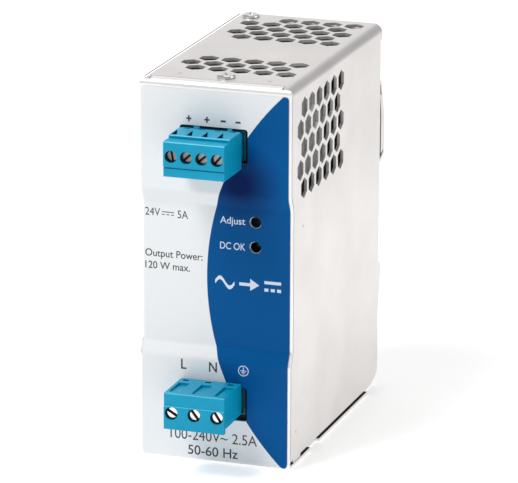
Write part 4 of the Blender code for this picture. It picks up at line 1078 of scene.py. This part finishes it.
# %% [markdown]
# ### Painted shadow line
# A dark line runs along the left edge of the cover's top, a little way in from the bend. It is painted
# shadow: a thin black strip let into the sheet, almost flush with it.
# %% Painted shadow line along the top
shadow_line_strip = bmesh.new()
block(shadow_line_strip, (-24.0, -23.75), (2.2, 94.0), (HEIGHT - 0.05, HEIGHT + 0.03))
add_piece("cover_shadow_line", shadow_line_strip, painted_shadow_card, "case")

# %% [markdown]
# ## Fasteners and rail clip
# All machine screws are pan heads with a cross recess. The recess is a plus-shaped well that narrows as
# it goes down. The clip's bracket is one folded strip: seat, hook and tip. Two guides, a spring lug and
# the hook's side gussets are separate blocks joined to it.
# %% Cross-head screws
def cross(reach, half_width, level):
    """Plus-shaped ring at a level above the origin."""
    points = []
    corner = [(reach, -half_width), (reach, half_width), (half_width, half_width)]
    for _ in range(4):
        points += corner
        corner = [(-b, a) for a, b in corner]
    return [(a, b, level) for a, b in points]


def cross_screw(at, way, head, height, shank, length):
    """Pan-head screw: the underside of its head is at `at`, and the head faces along `way`."""
    bm = bmesh.new()
    profile = [(-length, 0.0), (-length, shank - 0.3)]
    count = int(length / 0.6)
    for i in range(count):
        profile += [(-length + 0.15 + 0.6 * i, shank), (-length + 0.45 + 0.6 * i, shank - 0.2)]
    profile += [(0.0, shank), (0.0, head), (0.4 * height, head), (0.75 * height, 0.96 * head),
                (0.93 * height, 0.86 * head), (height, 0.74 * head), (height, 0.0)]
    turned(bm, (0, 0, 0), profile, 28, "z")
    reach = 0.55 * head
    sink(bm, 2, height, [[cross(reach, 0.38, height), cross(0.6 * reach, 0.25, height - 0.9)]], 0.0)
    aim = Vector((0, 0, 1)).rotation_difference(Vector(way)).to_matrix().to_4x4()
    turn = Matrix.Rotation(math.radians(25), 4, "Z")
    bmesh.ops.transform(bm, verts=bm.verts, matrix=Matrix.Translation(at) @ aim @ turn)
    return bm


SEAT_Y = -CASE_ORIGIN.y / MM
BOARD_SCREWS = ((20.0, 56.0), (86.0, 56.0), (20.0, 115.0), (86.0, 115.0))
cross_screws = {}
for side, (x, y) in COVER_SCREWS.items():
    cross_screws[f"cover_screw_{side}"] = cross_screw((x, y, HEIGHT + 0.15), (0, 0, 1), 2.9, 0.95, 1.4, 3.7)
for side, x in (("left", -15.0), ("right", 15.0)):
    at = (x, SEAT_Y + 0.1, 98.0)
    cross_screws[f"bracket_screw_{side}"] = cross_screw(at, (0, 1, 0), 2.8, 1.2, 1.5, 5.5)
for number, (y, z) in enumerate(BOARD_SCREWS, start=1):
    cross_screws[f"board_screw_{number}"] = cross_screw((-16.9, y, z), (1, 0, 0), 2.9, 1.7, 1.4, 4.9)
for screw, bm in cross_screws.items():
    add_piece(f"{screw}_head", bm, zinc_bright, "case", [screw])

# %% Rail bracket
BRACKET_SHEET = 1.2
HOOK_DEPTH, HOOK_TIP_Z = 103.6, 75.3
bracket_mid = SEAT_Y - BRACKET_SHEET / 2
hook_mid = HOOK_DEPTH - BRACKET_SHEET / 2
bracket_line = fold_line([(bracket_mid, 12.0), (bracket_mid, 103.0), (SEAT_Y + 2.8, 103.0), (hook_mid, 90.0),
                          (hook_mid, 78.0), (SEAT_Y + 1.6, HOOK_TIP_Z + 0.6)], [1.2, 1.2, 6.0, 1.6])
bracket_length = bracket_line[-1]["start"] + bracket_line[-1]["length"]
bracket_blank = punched_blank(rounded_rect((0.0, bracket_length), (-23.5, 23.5), 1.2),
                              [circle(86.0, x, 1.8) for x in (-15.0, 15.0)],
                              -BRACKET_SHEET / 2, BRACKET_SHEET / 2, 0.15)
crease(bracket_blank, bend_stations(bracket_line))
folded(bracket_blank, bracket_line, lambda across, point: (across, point.x, point.y))
for sign in (-1, 1):
    gusset = bmesh.new()
    outline = [(0.6, 88.5), (0.6, 79.5), (3.6, 78.5), (3.6, 92.0), (5.0, 99.0), (3.3, 98.0)]
    outline = [(HOOK_DEPTH - inward, z) for inward, z in outline]
    prism(gusset, outline, sorted((sign * 22.5, sign * 23.49)))
    soften(gusset, sharp_edges(gusset), 0.1)
    merge(bracket_blank, gusset)
    foot, lip, edge = sign * 15.0, sign * 16.2, sign * 19.4
    guide = [(foot, bracket_mid), (lip, bracket_mid), (lip, SEAT_Y + 1.9), (edge, SEAT_Y + 1.9),
             (edge, SEAT_Y + 2.9), (foot, SEAT_Y + 2.9)]
    merge(bracket_blank, punched_blank(guide, [], 25.0, 34.0, 0.12))
lug = bmesh.new()
block(lug, (-3.0, 3.0), (bracket_mid, SEAT_Y + 3.0), (22.7, 23.9), 0.15)
merge(bracket_blank, lug)
print(f"bracket strip {bracket_length:.1f} x 47.0 mm")
add_piece("rail_bracket_strip", bracket_blank, steel_clip, "case", ["rail_bracket"])

# %% [markdown]
# ## Front controls
# A slotted trimmer and a domed lamp sit behind the two small holes in the panel.
# %% Trimmer and lamp
trimmer_blue = moulded("trimmer_blue", (0.02, 0.08, 0.25), 0.45)
rotor_dark = moulded("rotor_dark", (0.02, 0.02, 0.022), 0.5, gloss=0.3)
lamp_green = moulded("lamp_green", (0.012, 0.05, 0.016), 0.18, grain=800.0, depth=0.000005)
ADJUST_X, ADJUST_Z = PEEP["adjust"]
LAMP_Z = PEEP["lamp"][1]
trimmer = bmesh.new()
block(trimmer, (ADJUST_X - 3.3, ADJUST_X + 3.3), (7.0, 12.0), (ADJUST_Z - 3.3, ADJUST_Z + 3.3), 0.25)
sink(trimmer, 1, 7.0, [well(ADJUST_X, ADJUST_Z, [(7.0, 1.75), (9.0, 1.75)])])
add_piece("trimmer_case", trimmer, trimmer_blue, "case", ["trimmer_body"])
rotor = bmesh.new()
turned(rotor, (ADJUST_X, 5.2, ADJUST_Z), [(0.6, 0.0), (0.6, 1.5), (3.6, 1.5), (3.6, 0.0)], 28)
merge(rotor, slot_lands((ADJUST_X, 5.2, ADJUST_Z), 1.5, 0.65, 0.25, 0.0, 0.12))
add_piece("trimmer_disc", rotor, rotor_dark, "trimmer_rotor", ["trimmer_rotor"])
lamp = bmesh.new()
dome = [(1.5 - 1.5 * math.cos(math.radians(9 * i)), 1.5 * math.sin(math.radians(9 * i))) for i in range(11)]
turned(lamp, (ADJUST_X, 5.0, LAMP_Z), dome + [(5.6, 1.5), (5.6, 1.9), (7.0, 1.9), (7.0, 0.0)], 28)
add_piece("status_lamp", lamp, lamp_green, "case", ["status_led"])

# %% [markdown]
# ## Electronics
# The main board stands against the left wall and carries the power parts. They show only through the
# vents and slots, so their frame solids stay as they are, and each takes the surface of the real one:
# enamelled wire, shrink sleeve, sintered core, dull aluminium.
# %% Finishes of the electronics
def circuit_board(name):
    """Green mask over copper: a grid of faint tracks, slightly raised, on a glossy coat."""
    made, tree, shader = new_material(name)
    space = object_space(tree)
    tracks = node(tree, "ShaderNodeTexBrick", Scale=260.0, Mortar_Size=0.06, Mortar_Smooth=0.2)
    tree.links.new(space, tracks.inputs["Vector"])
    mask = blend_colours(tree, tracks.outputs["Fac"], (0.012, 0.11, 0.04), (0.03, 0.19, 0.07))
    tree.links.new(mask, shader.inputs["Base Color"])
    weave = noise(tree, space, 3000.0, 2.0)
    tree.links.new(remap(tree, weave, 0.28, 0.36), shader.inputs["Roughness"])
    bump(tree, shader, tracks.outputs["Fac"], 0.3, 0.00003)
    return made


finish_by_slot = {
    "cover_steel": steel_cover, "panel_steel": steel_panel, "label_film": printed_film,
    "fastener_zinc": zinc_bright, "clip_steel": steel_clip, "plug_plastic": teal, "lamp_lens": lamp_green,
    "trimmer_plastic": trimmer_blue, "rotor_plastic": rotor_dark, "clamp_steel": steel_clip,
    "output_screw_steel": screw_dark, "input_screw_zinc": zinc_bright,
    "spring_steel": rolled_metal("spring_wire", (0.52, 0.52, 0.53), 0.28, streak=(1, 1, 1)),
    "insulation_film": moulded("insulation_film", (0.62, 0.60, 0.45), 0.35, grain=900.0, depth=0.000005),
    "circuit_board": circuit_board("solder_mask"),
    "fuse_ceramic": moulded("fuse_ceramic", (0.78, 0.75, 0.66), 0.25, grain=1500.0),
    "thermistor_coat": moulded("thermistor_coat", (0.02, 0.02, 0.021), 0.42, grain=1200.0),
    "varistor_coat": moulded("varistor_coat", (0.02, 0.07, 0.30), 0.38, grain=1200.0),
    "film_capacitor_case": moulded("film_capacitor_case", (0.62, 0.40, 0.03), 0.45),
    "package_epoxy": moulded("package_epoxy", (0.018, 0.018, 0.018), 0.6, grain=3500.0, strength=0.5),
    "capacitor_sleeve": moulded("capacitor_sleeve", (0.012, 0.016, 0.045), 0.28, grain=500.0, depth=0.00001),
    "ferrite": moulded("ferrite", (0.035, 0.035, 0.04), 0.62, grain=4000.0, strength=0.6, variation=0.15),
    "copper_wire": rolled_metal("enamelled_copper", (0.56, 0.21, 0.07), 0.24, streak=(1, 1, 1), contrast=0.1),
    "powder_core": moulded("powder_core", (0.60, 0.46, 0.06), 0.5, grain=1800.0),
    "heatsink_aluminium": rolled_metal("dull_aluminium", (0.30, 0.30, 0.31), 0.4, streak=(1, 10, 1)),
    "bobbin_plastic": moulded("bobbin_plastic", (0.02, 0.02, 0.02), 0.5),
    "winding_tape": moulded("winding_tape", (0.66, 0.44, 0.03), 0.25, grain=400.0, depth=0.00001),
}
slot_by_node = {part["node"]: part["material_slot"] for part in frame["record"]["subparts"]}
for name, carried in frame["nodes"].items():
    if not carried.hide_render:
        carried.data.materials.clear()
        carried.data.materials.append(finish_by_slot[slot_by_node[name]])
print("carried over:", [name for name, kept in frame["nodes"].items() if not kept.hide_render])
